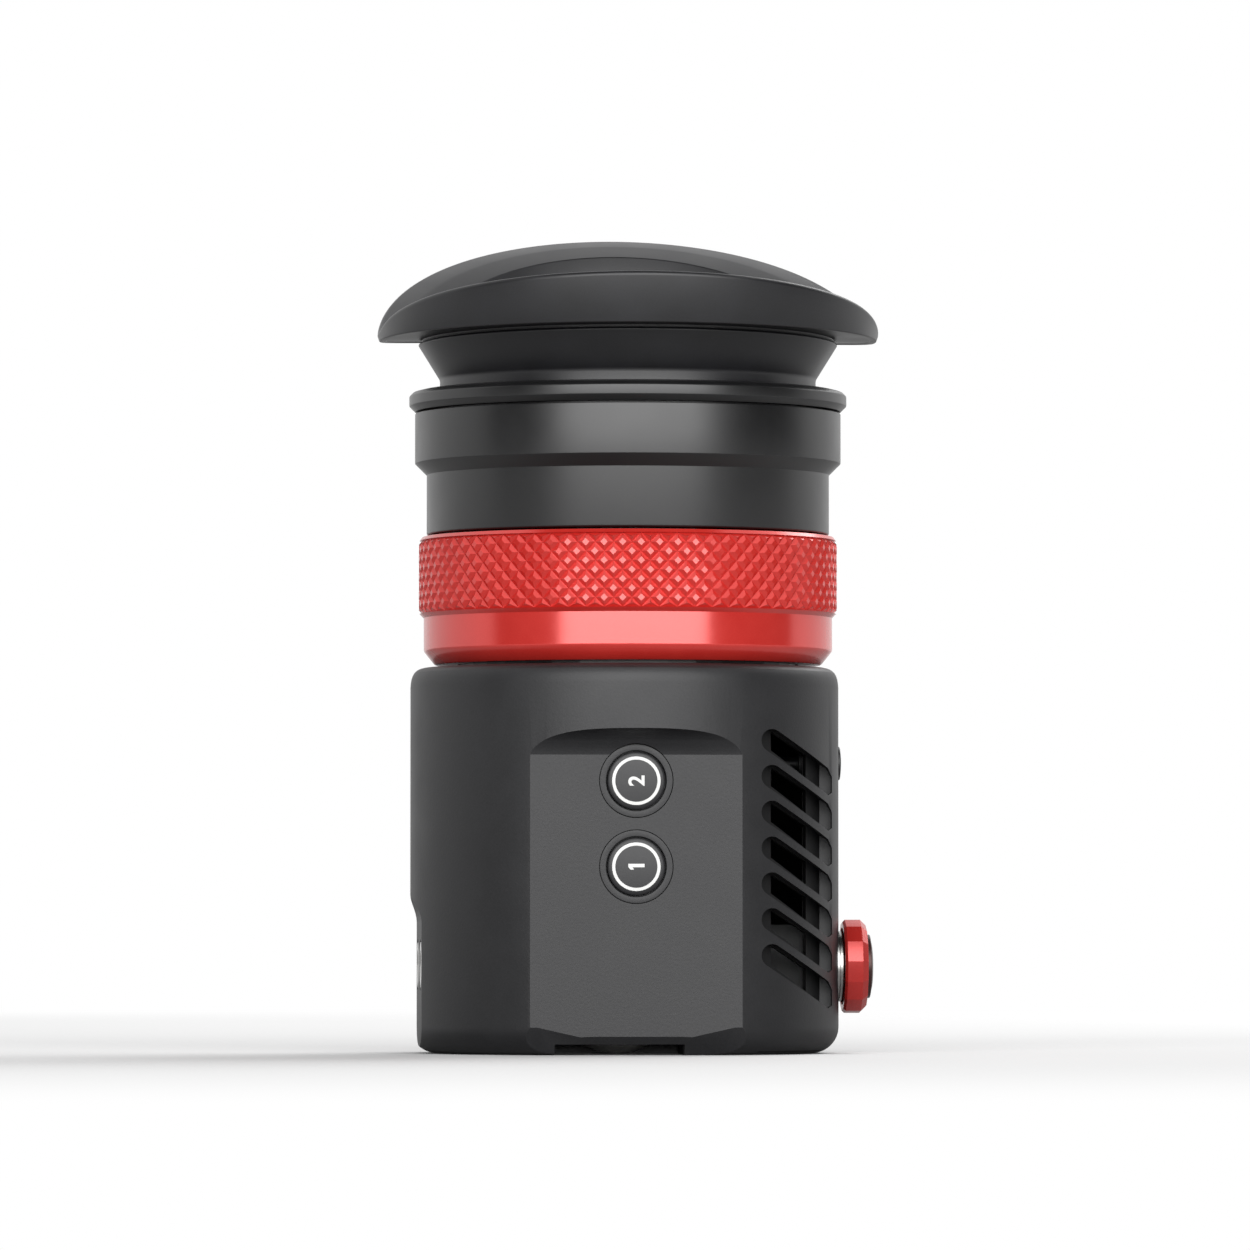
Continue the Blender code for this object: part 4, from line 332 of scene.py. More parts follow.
# black anodised aluminium, turned: satin, with faint rings round the axis
blackAnodised = grainedFinish("blackAnodised", "#0E0E0F", "#141415", 0.20, 0.12, 0.35, depth=0.01, turned=True,
                              gloss=0.62)
# red anodised aluminium: deep red metal under a clear oxide skin that shines salmon where the lamp shows
redAnodised = grainedFinish("redAnodised", "#C62B25", "#CE322B", 0.20, 0.08, 0.20, depth=0.008, turned=True,
                            metal=0.25, gloss=1.0)
# the same oxide on milled facets, which have no rings of tool marks
redFacets = grainedFinish("redFacets", "#AE241F", "#B62C27", 0.20, 0.06, 0.22, depth=0.006, metal=0.35, gloss=0.85)
# dark cap: black anodised satin metal, with the red dial's reflection painted into its colour as a brown tint
bronzeCap = grainedFinish("bronzeCap", "#3A2A28", "#46312E", 0.20, 0.08, 0.36, depth=0.008, metal=0.6)
# moulded nitrile rubber: a soft satin black skin that lights up where it is seen at a flat angle
mouldedRubber = grainedFinish("mouldedRubber", "#121214", "#18181B", 0.25, 0.18, 0.40, depth=0.02)
# turned stainless steel: bright, with rings of tool marks
turnedSteel = grainedFinish("turnedSteel", "#A8A8A6", "#BDBCBA", 0.15, 0.12, 0.28, depth=0.008, turned=True,
                            turnAxis='X', metal=1.0)
# turned brass: warm yellow metal
turnedBrass = grainedFinish("turnedBrass", "#B08D4A", "#C09C56", 0.15, 0.10, 0.32, depth=0.008, metal=1.0)
# moulded ABS keys: near black with a faint spark-eroded texture
mouldedKey = grainedFinish("mouldedKey", "#19191B", "#202022", 0.18, 0.25, 0.45, depth=0.015)
# white screen ink: thick, slightly rough
whiteInk = grainedFinish("whiteInk", "#D6D6D4", "#E2E2E0", 0.12, 0.15, 0.55, depth=0.01)
# moulded white acetal: smooth and waxy
whiteAcetal = grainedFinish("whiteAcetal", "#D8D6CF", "#E2E0DA", 0.25, 0.10, 0.42, depth=0.01)
# black solder mask over glass cloth: a dark gloss, a little uneven over the weave
blackSolderMask = grainedFinish("blackSolderMask", "#0B0C0C", "#101111", 0.45, 0.15, 0.38, depth=0.02, coat=0.2)
# amber polyimide film: brown orange, smooth
polyimideFilm = grainedFinish("polyimideFilm", "#9A5A1C", "#A8641F", 0.5, 0.05, 0.3, depth=0.01)


def coatedLens():
    # optical glass with an anti-reflection coat: clear, with a faint green and violet sheen
    material, tree, shader = newMaterial("coatedLens")
    place = addNode(tree, 'TexCoord').outputs["Object"]
    haze = addNode(tree, 'TexNoise', values={"Scale": perMetre(4), "Detail": 2}, links={"Vector": place})
    tone = addNode(tree, 'Mix', settings={"data_type": 'RGBA'},
                   values={6: srgb("#E4EEEA"), 7: srgb("#E9E6F0")}, links={0: haze.outputs["Fac"]})
    tree.links.new(tone.outputs[2], shader.inputs["Base Color"])
    setShader(shader, rough=0.02, ior=1.6, clear=1.0, coat=0.3, coatRough=0.02)
    shader.inputs["Coat Tint"].default_value = srgb("#B9F0C8")
    return material


coatedGlass = coatedLens()
print("materials made")


# housing

housingShape = {
    "wall": 4.5, "flatWall": 3.1, "topWall": 4.6, "footRound": 3.8,
    "shoulder": ((31.0, 52.8), (30.95, 53.4), (30.85, 54.0), (30.68, 54.5), (30.45, 54.9), (30.1, 55.25),
                 (29.7, 55.47), (29.2, 55.6)),
    "tubeSeat": 27.4, "seatDepth": 2.0, "lightHole": 16.5,
    "flatTop": 42.6, "scoopRadius": 5.0, "scoopStandoff": 0.9, "scoopDrop": 1.2,
    # the bevel under the panel: how far it reaches to each side, and how much it has risen there
    "panelWidth": 30.2, "footRise": 2.6, "footInset": 1.6, "footOuter": 27.6,
    "footLine": ((-1.2, 1.5), (-0.93, 1.5), (-0.42, 1.0), (0.42, 1.0), (0.93, 1.5), (1.2, 1.5)),
    # the pad's plane runs out, by height, through a soft S into the round side
    "padDistance": 30.24,
    "padRamp": ((18.9, 0), (19.6, 0.07), (20.3, 0.26), (21.0, 0.54), (21.7, 0.86), (22.3, 1.1), (22.9, 1.24),
                (23.6, 1.32), (40, 1.5)),
    "notchWidth": 18.5, "notchHeight": 1.5,
    "edgeBreak": 0.12, "steps": 192,
}
vents = {
    "count": 7, "pitch": 5.1, "width": 3.3, "startX": 19.1, "startZ": 44.7, "endX": 28.8, "windowEndX": 24.7,
    "slope": math.radians(32.1), "depth": 2.2, "ledge": 0.3, "backY": -8.0, "pocketReach": 26, "windowReach": 22,
    "floorFromX": 17,
}
# holes in the housing's wall: their radii, the depths of their seats, and where the tools begin and end
holes = {
    "key": 5.0, "keySeat": 5.29, "keySeatDepth": 1.6, "sideKey": 2.75, "dial": 3.5, "dialSeat": 5.5,
    "dialSeatFloor": 29.9, "insert": 3.7, "insertFloor": 26.3, "jack": 5.13, "power": 3.9,
    "sideInside": 22, "socketInside": 20, "outside": 34,
}


def housingCan():
    # the seat of the eyepiece tube and the light hole are turned with the can
    s, v = housingShape, viewfinder
    radius, height = v["housingRadius"], v["housingHeight"]
    seat, inside = height - s["seatDepth"], height - s["topWall"] - 1
    profile = [(0, 0), (radius, 0, s["footRound"]), *s["shoulder"], (s["tubeSeat"], height), (s["tubeSeat"], seat),
               (s["lightHole"], seat), (s["lightHole"], inside), (0, inside)]
    return lathe("housingShell", profile, (xMiddle, 0, 0), steps=s["steps"], roundSteps=12)


def cavity():
    # meets the light hole from below
    inner = viewfinder["housingRadius"] - housingShape["wall"]
    near = viewfinder["panelDistance"] - housingShape["flatWall"]
    far = viewfinder["socketDistance"] - housingShape["flatWall"]
    nearTurn, farTurn = math.asin(near / inner), math.asin(far / inner)
    outline = arcPoints((xMiddle, 0), inner, -nearTurn, farTurn, 40)
    outline += arcPoints((xMiddle, 0), inner, math.pi - farTurn, math.pi + nearTurn, 40)
    top = viewfinder["housingHeight"] - housingShape["topWall"]
    return slab("cavityTool", [(x, y, -1) for x, y in outline], (0, 0, top + 1))


def milledFlat(side, distance):
    # the flat and, above it, the round run-out that the mill leaves
    s, reach = housingShape, viewfinder["housingRadius"] + 2
    start = math.asin(s["scoopDrop"] / s["scoopRadius"])
    middle = (-viewfinder["housingRadius"] - s["scoopStandoff"], s["flatTop"] - s["scoopDrop"])
    curve = arcPoints(middle, s["scoopRadius"], start, math.pi / 2, 24)
    outside = -38
    outline = [(-distance, -1), (-distance, s["flatTop"]), *curve, (outside, curve[-1][1]), (outside, -1)]
    return slab("flatTool", [(xMiddle - reach, -side * y, z) for y, z in outline], (2 * reach, 0, 0))


def panelFootTool():
    # a bevel under the panel, low in the middle and rising to both sides: one triangle is pushed from row to row
    s = housingShape
    line, outer = viewfinder["panelDistance"] - s["footInset"], s["footOuter"]
    rows = []
    for share, lift in s["footLine"]:
        x, slope = xMiddle + share * s["panelWidth"] / 2, lift * s["footRise"] / s["footInset"]
        rows.append([(x, -outer, -1), (x, -line + 1 / slope, -1), (x, -outer, (outer - line) * slope)])
    piece = traceOutline("panelFootTool", [rows[0][0], rows[0][1], rows[0][2], rows[0][0]])
    selectAll()
    bpy.ops.mesh.remove_doubles(threshold=0.001 * mm)
    for before, after in zip(rows, rows[1:]):
        push = (Vector(after[0]) - Vector(before[0])) * mm
        bpy.ops.mesh.extrude_region_move(TRANSFORM_OT_translate={"value": push})
        shape = bmesh.from_edit_mesh(bpy.context.object.data)
        picked = [vert for vert in shape.verts if vert.select]
        for place, old in ((after[1], before[1]), (after[2], before[2])):
            target = Vector((after[0][0], old[1], old[2])) * mm
            near = min(picked, key=lambda vert: (vert.co - target).length)
            near.co = Vector(place) * mm
        bmesh.update_edit_mesh(bpy.context.object.data)
    selectAll()
    pick('EDGE', lambda edge: edge.is_boundary)
    bpy.ops.mesh.edge_face_add()
    selectAll()
    bpy.ops.mesh.quads_convert_to_tris()
    closeMesh()
    setMode('OBJECT')
    return bpy.context.object


def padTool():
    face, outside, side = -housingShape["padDistance"], -34, 40
    ramp = [(face - out, side, z) for z, out in housingShape["padRamp"]]
    return slab("padTool", [(outside, side, -1), (face, side, -1), *ramp, (outside, side, 40)], (0, -2 * side, 0))


def ventTools():
    # seven slanted pockets that stop at the floor, and the windows that go through it
    p = vents
    half = p["width"] / 2
    across = Vector((math.sin(p["slope"]), math.cos(p["slope"])))
    along = Vector((math.cos(p["slope"]), -math.sin(p["slope"])))
    x, z, endX = p["startX"], p["startZ"], p["windowEndX"]
    start = Vector((x, z))
    outline = arcPoints(start, half, math.pi / 2 - p["slope"], 3 * math.pi / 2 - p["slope"], 12)
    for side in (-1, 1):
        edge = start + side * half * across
        length = (p["endX"] - edge.x) / along.x
        before, after = edge + (length - half / 2) * along, edge + length * along - Vector((0, side * half / 2))
        outline += [before, after] if side < 0 else [after, before]
    pocket = slab("ventPocketTool", [(x, p["backY"], z) for x, z in outline], (0, -p["pocketReach"], 0))
    fall = (p["windowEndX"] - p["startX"]) * math.tan(p["slope"])
    startRise, endRise = half - p["ledge"], half / math.cos(p["slope"]) - p["ledge"]
    y, end = p["backY"] - p["ledge"], z - fall
    corners = [(x, y, z - startRise), (endX, y, end - endRise), (endX, y, end + endRise), (x, y, z + startRise)]
    window = slab("ventWindowTool", corners, (0, -p["windowReach"], 0))
    tools = []
    for first in (pocket, window):
        row = [first] + [copyPiece(first, first.name + str(index), (0, 0, -index * p["pitch"]))
                         for index in range(1, p["count"])]
        deselectAll()
        for piece in row:
            piece.select_set(True)
        bpy.context.view_layer.objects.active = row[0]
        bpy.ops.object.join()
        tools.append(row[0])
    floorRadius = viewfinder["housingRadius"] - p["depth"]
    cutWith(tools[0], plug("ventFloorTool", floorRadius, -2, 60, (xMiddle, 0, 0), 'Z', housingShape["steps"]))
    return tools


def isVentFloor(place):
    radius = math.hypot(place.x - xMiddle, place.y)
    onFloor = abs(radius - (viewfinder["housingRadius"] - vents["depth"])) < 0.2
    return onFloor and place.x > vents["floorFromX"] and place.y < vents["backY"]


def keyHoleTool(height):
    h, face = holes, viewfinder["panelDistance"]
    inside, seat, outside = face - housingShape["flatWall"] - 1, face - h["keySeatDepth"], h["outside"] - 1
    return lathe("keyHoleTool", [(0, inside), (h["key"], inside), (h["key"], seat), (h["keySeat"], seat),
                 (h["keySeat"], outside), (0, outside)], (xMiddle, 0, height), '-Y')


def makeHousing():
    s, v, h = housingShape, viewfinder, holes
    shell = housingCan()
    cutWith(shell, cavity())
    cutWith(shell, milledFlat(-1, v["panelDistance"]), milledFlat(1, v["socketDistance"]))
    cutWith(shell, panelFootTool(), padTool())
    cutWith(shell, *ventTools())
    inside, seat, outside = h["sideInside"], h["dialSeatFloor"], h["outside"]
    left, right = v["baseScrewX"] - s["notchWidth"] / 2, v["baseScrewX"] + s["notchWidth"] / 2
    notch = [(left, -outside, -1), (right, -outside, -1), (right, -inside, -1), (left, -inside, -1)]
    cutWith(shell, slab("notchTool", notch, (0, 0, s["notchHeight"] + 1)))
    for height in v["panelKeyHeights"]:
        cutWith(shell, keyHoleTool(height))
    dialProfile = [(0, inside), (h["dial"], inside), (h["dial"], seat), (h["dialSeat"], seat),
                   (h["dialSeat"], outside), (0, outside)]
    cutWith(shell, plug("sideKeyTool", h["sideKey"], inside, outside, (0, 0, v["sideKeyHeight"]), 'X'),
            lathe("dialHoleTool", dialProfile, (0, 0, v["dialHeight"]), 'X'))
    for side in v["insertSides"]:
        cutWith(shell, plug("insertTool", h["insert"], h["insertFloor"], outside, (0, side, v["insertHeight"]), '-X'))
    cutWith(shell, plug("jackTool", h["jack"], h["socketInside"], outside, (xMiddle, 0, v["jackHeight"]), 'Y'),
            plug("powerTool", h["power"], h["socketInside"], outside, (xMiddle, 0, v["powerHeight"]), 'Y'))
    bevelEdges(shell, s["edgeBreak"])
    finishPiece(shell, root, mattBlackCoat, ["housing"], smooth=13)
    # painted shade: the faces on the vent floors take the darker, duller copy of the coat
    shell.data.materials.append(thinBlackCoat)
    setMode('EDIT')
    pick('FACE', lambda face: isVentFloor(face.calc_center_median() / mm))
    shell.active_material_index = 1
    bpy.ops.object.material_slot_assign()
    setMode('OBJECT')


makeHousing()
print("housing made")


# diopter ring

gripRing = {
    "bore": 24.7, "bottom": 56.1, "top": 74.6, "bandRadius": 29.6, "chamfer": 1.6, "chamferRise": 2.0,
    "stepHeight": 62.9, "knurlLow": 63.55, "knurlHigh": 74.05, "rootRadius": 29.85, "tipRadius": 30.3,
    "columns": 72, "rows": 4, "groove": 0.56,
    # how far beside an edge the loops lie that keep the shading flat
    "gap": 0.1, "round": 0.12,
}


def pullLoops(radius, path):
    # extrudes the picked loop along a path of (new radius, rise)
    for newRadius, rise in path:
        bpy.ops.mesh.extrude_edges_move()
        bpy.ops.transform.translate(value=(0, 0, rise * mm))
        share = newRadius / radius
        bpy.ops.transform.resize(value=(share, share, 1), center_override=(0, 0, 0))
        radius = newRadius


def isLevel(edge):
    return abs(edge.verts[0].co.z - edge.verts[1].co.z) < 0.01 * mm


def isUpright(edge):
    return (edge.verts[0].co.xy - edge.verts[1].co.xy).length < 0.01 * mm


def isRim(edge, height):
    return edge.is_boundary and all(abs(vert.co.z - height * mm) < 0.01 * mm for vert in edge.verts)


def makeGripRing():
    g = gripRing
    deselectAll()
    height = g["knurlHigh"] - g["knurlLow"]
    bpy.ops.mesh.primitive_cylinder_add(vertices=g["columns"], radius=g["rootRadius"] * mm, depth=height * mm,
                                        end_fill_type='NOTHING', location=(0, 0, (g["knurlLow"] + height / 2) * mm))
    ring = bpy.context.object
    ring.name = "diopterGrip"
    bpy.ops.object.transform_apply()
    setMode('EDIT')
    # rows of squares, each poked at its middle, so that the old edges cross the diamonds
    pick('EDGE', lambda edge: not isLevel(edge))
    bpy.ops.mesh.subdivide_edgering(number_cuts=g["rows"] - 1, interpolation='LINEAR')
    selectAll()
    bpy.ops.mesh.poke()
    shape = bmesh.from_edit_mesh(ring.data)
    # the poked middles go out to the same radius as the corners, so that the diamonds lie evenly
    for vert in shape.verts:
        flat = Vector((vert.co.x, vert.co.y, 0))
        vert.co += flat.normalized() * (g["rootRadius"] * mm - flat.length)
    bmesh.update_edit_mesh(ring.data)
    pick('EDGE', lambda edge: not edge.is_boundary and (isLevel(edge) or isUpright(edge)))
    bpy.ops.mesh.dissolve_edges(use_verts=False)
    # each diamond is pressed up into a flat-topped pyramid
    pick('FACE', lambda face: True)
    bpy.ops.mesh.inset(thickness=g["groove"] * mm, depth=(g["tipRadius"] - g["rootRadius"]) * mm, use_individual=True,
                       use_boundary=True, use_even_offset=True)
    # the top and the bore are pulled from the upper open edge, the plain band and its chamfer from the lower one
    tip, band, bore, gap, soft = g["tipRadius"], g["bandRadius"], g["bore"], g["gap"], g["round"]
    pick('EDGE', lambda edge: isRim(edge, g["knurlHigh"]))
    pullLoops(g["rootRadius"], [(tip - soft, 0.05), (tip - 0.5, g["top"] - g["knurlHigh"] - 0.05), (bore, 0),
                                (bore, g["bottom"] - g["top"])])
    pick('EDGE', lambda edge: isRim(edge, g["knurlLow"]))
    foot = band - g["chamfer"]
    pullLoops(g["rootRadius"], [
        (tip - gap, -0.05), (band, g["stepHeight"] - g["knurlLow"] + 0.05), (band, -gap),
        (band, g["bottom"] + g["chamferRise"] + 0.35 - g["stepHeight"]), (band, -gap), (band - soft, -0.3),
        (foot + gap, 0.15 - g["chamferRise"] + soft), (foot - gap, -soft), (bore, 0)])
    closeMesh(0.02)
    setMode('OBJECT')
    finishPiece(ring, "diopter", redAnodised, ["diopter_ring"])


makeGripRing()
print("diopter ring made")


# eyepiece barrel, collar and bezel

eyepiece = {
    "bore": 24.6, "bottom": 74.9, "top": 92.5, "lowerRadius": 29.16, "upperRadius": 30.86, "stepHeight": 83.6,
    "collarSeat": (29.2, 88.3), "bezelSeat": (27.2, 90.3),
    "collarBottom": 92.8, "collarTop": 95.8, "collarRadius": 31.7,
    "collarInside": ((27.55, 94.9), (29.3, 94.9), (29.3, 93.1), (27.5, 93.1), (27.5, 88.6), (28.9, 88.6),
                     (28.9, 92.8)),
    "bezel": ((18.5, 90.6), (27.2, 90.6), (27.2, 92.8, 0.15), (25.7, 92.8, 0.15), (18.5, 91.2, 0.2)),
    "steps": 160,
}


def makeEyepiece():
    e = eyepiece
    lower, upper, bore, steps = e["lowerRadius"], e["upperRadius"], e["bore"], e["steps"]
    (seat, seatFloor), (inner, shelf) = e["collarSeat"], e["bezelSeat"]
    barrel = lathe("eyepieceBarrel", [
        (bore, e["bottom"]), (lower, e["bottom"], 0.3), (lower, e["stepHeight"], 0.12),
        (upper, e["stepHeight"] + upper - lower, 0.2), (upper, e["top"], 0.12), (seat, e["top"]), (seat, seatFloor),
        (inner, seatFloor), (inner, shelf), (bore, shelf)], steps=steps)
    finishPiece(barrel, root, blackAnodised, ["eyepiece_barrel"])
    low, high, wide, inside = e["collarBottom"], e["collarTop"], e["collarRadius"], e["collarInside"]
    collar = lathe("eyecupCollar", [
        (upper, low, 0.05), (wide, low + 0.84, 0.25), (wide, high - 0.8, 0.35), (wide - 0.55, high - 0.25, 0.4),
        (wide - 1.6, high, 0.3), (inside[0][0], high, 0.1), *inside], steps=steps)
    finishPiece(collar, root, blackAnodised, ["eyecup_ring"])
    bezel = lathe("lensBezel", e["bezel"], steps=steps)
    finishPiece(bezel, root, blackAnodised, ["eyepiece_bezel"])


makeEyepiece()
print("eyepiece made")


# lenses that show through the eyecup

eyeLensShape = {
    "radius": 19.5, "rim": 1.9, "low": 77.5, "high": 80.5, "frontCrown": 4.0, "backCrown": 2.0,
    "retainerLow": 80.8, "retainerHigh": 84.8, "retainerBore": 17.8, "retainerLip": 0.5,
}


def crownPoints(clear, crown, base, way, steps=14):
    # a round crown from the axis out to its clear radius; way is 1 for upwards
    ball = (clear ** 2 + crown ** 2) / (2 * crown)
    span = math.asin(clear / ball)
    return [(ball * math.sin(span * step / steps), base + way * (crown - ball + ball * math.cos(span * step / steps)))
            for step in range(steps + 1)]


def makeEyeLens():
    n = eyeLensShape
    clear, radius = n["radius"] - n["rim"], n["radius"]
    profile = [*crownPoints(clear, n["backCrown"], n["low"], -1), (radius, n["low"]), (radius, n["high"]),
               *crownPoints(clear, n["frontCrown"], n["high"], 1)[::-1]]
    lens = lathe("eyeLens", profile)
    finishPiece(lens, "lens_group", coatedGlass, ["eye_lens"])
    # the ring that holds it in, with fine baffle threads on its bore
    low, high, bore, lip = n["retainerLow"], n["retainerHigh"], n["retainerBore"], n["retainerBore"] + n["retainerLip"]
    profile = [(radius, low), (radius, high, 0.1), (lip, high, 0.1), *threadRings(bore, high - 0.3, 0.55, 0.35, 0.3)]
    retainer = lathe("lensRetainer", profile + [(bore, low)])
    finishPiece(retainer, "lens_group", blackAnodised, ["lens_retainer"])


makeEyeLens()
print("lenses made")


# eyecup

eyecupShape = {
    "foot": 29.0, "footLow": 93.4, "footHigh": 94.6, "neck": 27.25, "neckRise": 97.4, "bore": 25.3, "neckTop": 30.5,
    "ledge": 103.0, "nearLedge": 103.5, "farLedge": 105.2, "undercut": 0.2, "grooveDrop": 0.38, "grooveDepth": 0.7,
    "skirt": 36.05, "sideReach": 36.5, "nearReach": 37.7, "farReach": 38.65,
    "sideTop": 104.3, "nearTop": 110.9, "farTop": 120.8, "nearPower": 0.60, "farPower": 0.95, "softSide": 0.17,
    "bead": 0.58, "creaseRadius": 29.2, "sideDrop": 0.9, "nearDrop": 2.6, "farDrop": 3.2, "bowlLow": 97.6,
    "steps": 180, "roundSteps": 5,
}


def saddle(angle, side, near, far, nearPower=1.0, farPower=1.0):
    # from its value at the sides to near (-Y) and far (+Y), with no fold where the two halves meet
    soft, lift = eyecupShape["softSide"], math.sin(angle)
    target, power = (near, nearPower) if lift < 0 else (far, farPower)
    rise = (math.hypot(lift, soft) ** power - soft ** power) / (math.hypot(1, soft) ** power - soft ** power)
    return side + (target - side) * rise


def eyecupSection(angle):
    # foot, neck, undercut flange, wall, beaded lip, sloping rim, crease and bowl; the third number rounds a corner off
    c = eyecupShape
    reach = saddle(angle, c["sideReach"], c["nearReach"], c["farReach"])
    top = saddle(angle, c["sideTop"], c["nearTop"], c["farTop"], c["nearPower"], c["farPower"])
    valley = top - saddle(angle, c["sideDrop"], c["nearDrop"], c["farDrop"])
    ledge = saddle(angle, c["ledge"], c["nearLedge"], c["farLedge"])
    skirt, crease, deep, roof = c["skirt"], c["creaseRadius"], c["neckTop"] - c["grooveDepth"], ledge + c["undercut"]
    bore, foot, neck, groove = c["bore"], c["foot"], c["neck"], ledge - c["grooveDrop"]
    return softened([
        (bore, c["footLow"], 0.1), (foot, c["footLow"], 0.25), (foot, c["footHigh"], 0.25), (neck, c["footHigh"], 0.1),
        (neck, c["neckRise"], 1.2), (c["neckTop"], groove, 0.3), (deep, groove + 0.1, 0.1), (deep, roof, 0.1),
        (skirt - 1.1, roof, 0.2), (skirt - 0.9, ledge, 0.12), (skirt, ledge, 0.2), (reach, top, c["bead"]),
        ((reach + crease) / 2, (top + valley) / 2 + 0.3, 6), (crease, valley, 0.35), (crease - 0.8, valley - 2.2, 1.5),
        (bore + 0.9, (valley + c["bowlLow"]) / 2 - 0.5, 3), (bore, c["bowlLow"], 0.3)],
        closed=True, steps=c["roundSteps"])


def makeEyecup():
    base = [tuple(point) for point in eyecupSection(0)]
    cup = lathe("rubberEyecup", base, steps=eyecupShape["steps"])
    activate(cup)
    setMode('EDIT')
    shape = bmesh.from_edit_mesh(cup.data)
    # every column of the turned cup is drawn to the section at its own angle
    columns = {}
    for vert in shape.verts:
        place = vert.co / mm
        radius, angle = math.hypot(place.x, place.y), math.atan2(place.y, place.x)
        index = min(range(len(base)), key=lambda k: (base[k][0] - radius) ** 2 + (base[k][1] - place.z) ** 2)
        if round(angle, 4) not in columns:
            columns[round(angle, 4)] = eyecupSection(angle)
        reach, height = columns[round(angle, 4)][index]
        vert.co = Vector((reach * math.cos(angle), reach * math.sin(angle), height)) * mm
    bmesh.update_edit_mesh(cup.data)
    selectAll()
    bpy.ops.mesh.normals_make_consistent(inside=False)
    setMode('OBJECT')
    finishPiece(cup, "eye_rubber", mouldedRubber, ["eyecup"], smooth=50)


makeEyecup()
print("eyecup made")


# buttons, with their rings and numbers

panelKey = {
    "radius": 4.1, "proud": 0.2, "bezelRadius": 5.2, "bezelBore": 4.3, "bezelDepth": 1.4,
    "inside": ((0, 23.3), (1.2, 23.3), (1.2, 24.77), (4.7, 24.77), (4.7, 25.37)), "flangeTop": 25.37,
    "dome": 0.16, "domeRadius": 3.8, "ringOuter": 3.44, "ringInner": 3.0,
    "ink": 0.03, "numberHeight": 2.2, "stroke": 0.07,
    "figureOne": ((0.27, -1.15), (0.27, 1.15), (-0.2, 1.15), (-0.56, 0.82), (-0.56, 0.34), (-0.22, 0.56),
                  (-0.22, -1.15)),
}


def domeTop(radius):
    # how far out the cap's face lies at this radius
    k = panelKey
    return viewfinder["panelDistance"] + k["proud"] - k["dome"] * (radius / k["domeRadius"]) ** 2


def inkedNumber(text, height, key):
    ink, face = panelKey["ink"], domeTop(0)
    if text == "1":
        number = slab("numberOne", [(x, y, 0) for x, y in panelKey["figureOne"]], (0, 0, ink))
    else:
        deselectAll()
        bpy.ops.object.text_add(location=(0, 0, 0))
        number = bpy.context.object
        number.data.body = text
        # a digit is about 0.7 of the text size high
        number.data.size = panelKey["numberHeight"] / 0.7 * mm
        number.data.align_x, number.data.align_y = 'CENTER', 'CENTER'
        number.data.offset = panelKey["stroke"] * mm
        number.data.extrude = ink / 2 * mm
        bpy.ops.object.convert(target='MESH')
    # upright on the panel, then turned a quarter to the left
    number.matrix_world = (Matrix.Translation(Vector((xMiddle, -face, height)) * mm)
                           @ Matrix.Rotation(math.radians(90), 4, 'X') @ Matrix.Rotation(math.radians(90), 4, 'Z'))
    bpy.context.view_layer.update()
    activate(number)
    bpy.ops.object.transform_apply()
    low = [min(vert.co[axis] for vert in number.data.vertices) for axis in range(3)]
    high = [max(vert.co[axis] for vert in number.data.vertices) for axis in range(3)]
    shift = Vector((xMiddle * mm - (low[0] + high[0]) / 2, (0.01 - face) * mm - high[1],
                    height * mm - (low[2] + high[2]) / 2))
    setMode('EDIT')
    selectAll()
    bpy.ops.transform.translate(value=shift)
    closeMesh(0.0005)
    setMode('OBJECT')
    number.name = "buttonNumber" + text
    finishPiece(number, key, whiteInk, smooth=20)


def makePanelKeys():
    k = panelKey
    face, radius = viewfinder["panelDistance"], k["radius"]
    for index, height in enumerate(viewfinder["panelKeyHeights"]):
        place, key = (xMiddle, 0, height), f"key_{index + 1}"
        bore, outer, back = k["bezelBore"], k["bezelRadius"], face - k["bezelDepth"]
        bezel = lathe(f"keyBezel{index + 1}", [(bore, back), (outer, back), (outer, face, 0.06), (bore, face, 0.08)],
                      place, '-Y')
        finishPiece(bezel, root, mattBlackCoat, [f"button_bezel_{index + 1}"])
        dome = [(reach, domeTop(reach)) for reach in (k["domeRadius"], 3.2, 2.6, 2.0, 1.3, 0.7, 0)]
        cap = lathe(f"keyCap{index + 1}", [*k["inside"], (radius, k["flangeTop"]), (radius, face - 0.15, 0.15), *dome],
                    place, '-Y')
        finishPiece(cap, key, mouldedKey, [f"button_{index + 1}"])
        inner, outer = k["ringInner"], k["ringOuter"]
        low, high = domeTop(outer) - 0.01, domeTop(inner)
        ring = lathe(f"keyRing{index + 1}", [(inner, high - 0.02), (outer, low - 0.02), (outer, low + k["ink"]),
                     (inner, high + k["ink"])], place, '-Y')
        finishPiece(ring, key, whiteInk)
        inkedNumber(str(index + 1), height, key)


makePanelKeys()
print("panel keys made")


# side key and jog dial

sideKey = {
    "profile": ((0, 21.7), (1.0, 21.7), (1.0, 24.6), (3.3, 24.6), (3.3, 25.4), (2.45, 25.4), (2.45, 30.75, 0.2),
                (1.6, 30.86, 1.0), (0, 30.9)),
}
dial = {
    "start": 31.1, "thick": 3.4, "radius": 6.8, "innerBevel": 0.35, "outerBevel": 0.85, "facets": 14,
    "turn": math.radians(-6.4), "nutSpace": 5.6, "shaftBore": 1.8, "web": 0.9, "capRadius": 4.6, "capGap": 0.2,
    "cap": ((0, 33.8), (4.6, 33.8), (4.6, 35.1, 0.12), (4.2, 35.12, 0.1), (3.2, 35.38, 2.0), (0, 35.5)),
    # a washer under a thin round nut
    "nut": ((3.5, 30.1), (5.2, 30.1), (5.2, 30.42, 0.06), (4.95, 30.44), (4.95, 30.5), (5.1, 30.52, 0.05),
            (5.1, 31.02, 0.16), (4.6, 31.1), (3.5, 31.1, 0.1)),
}


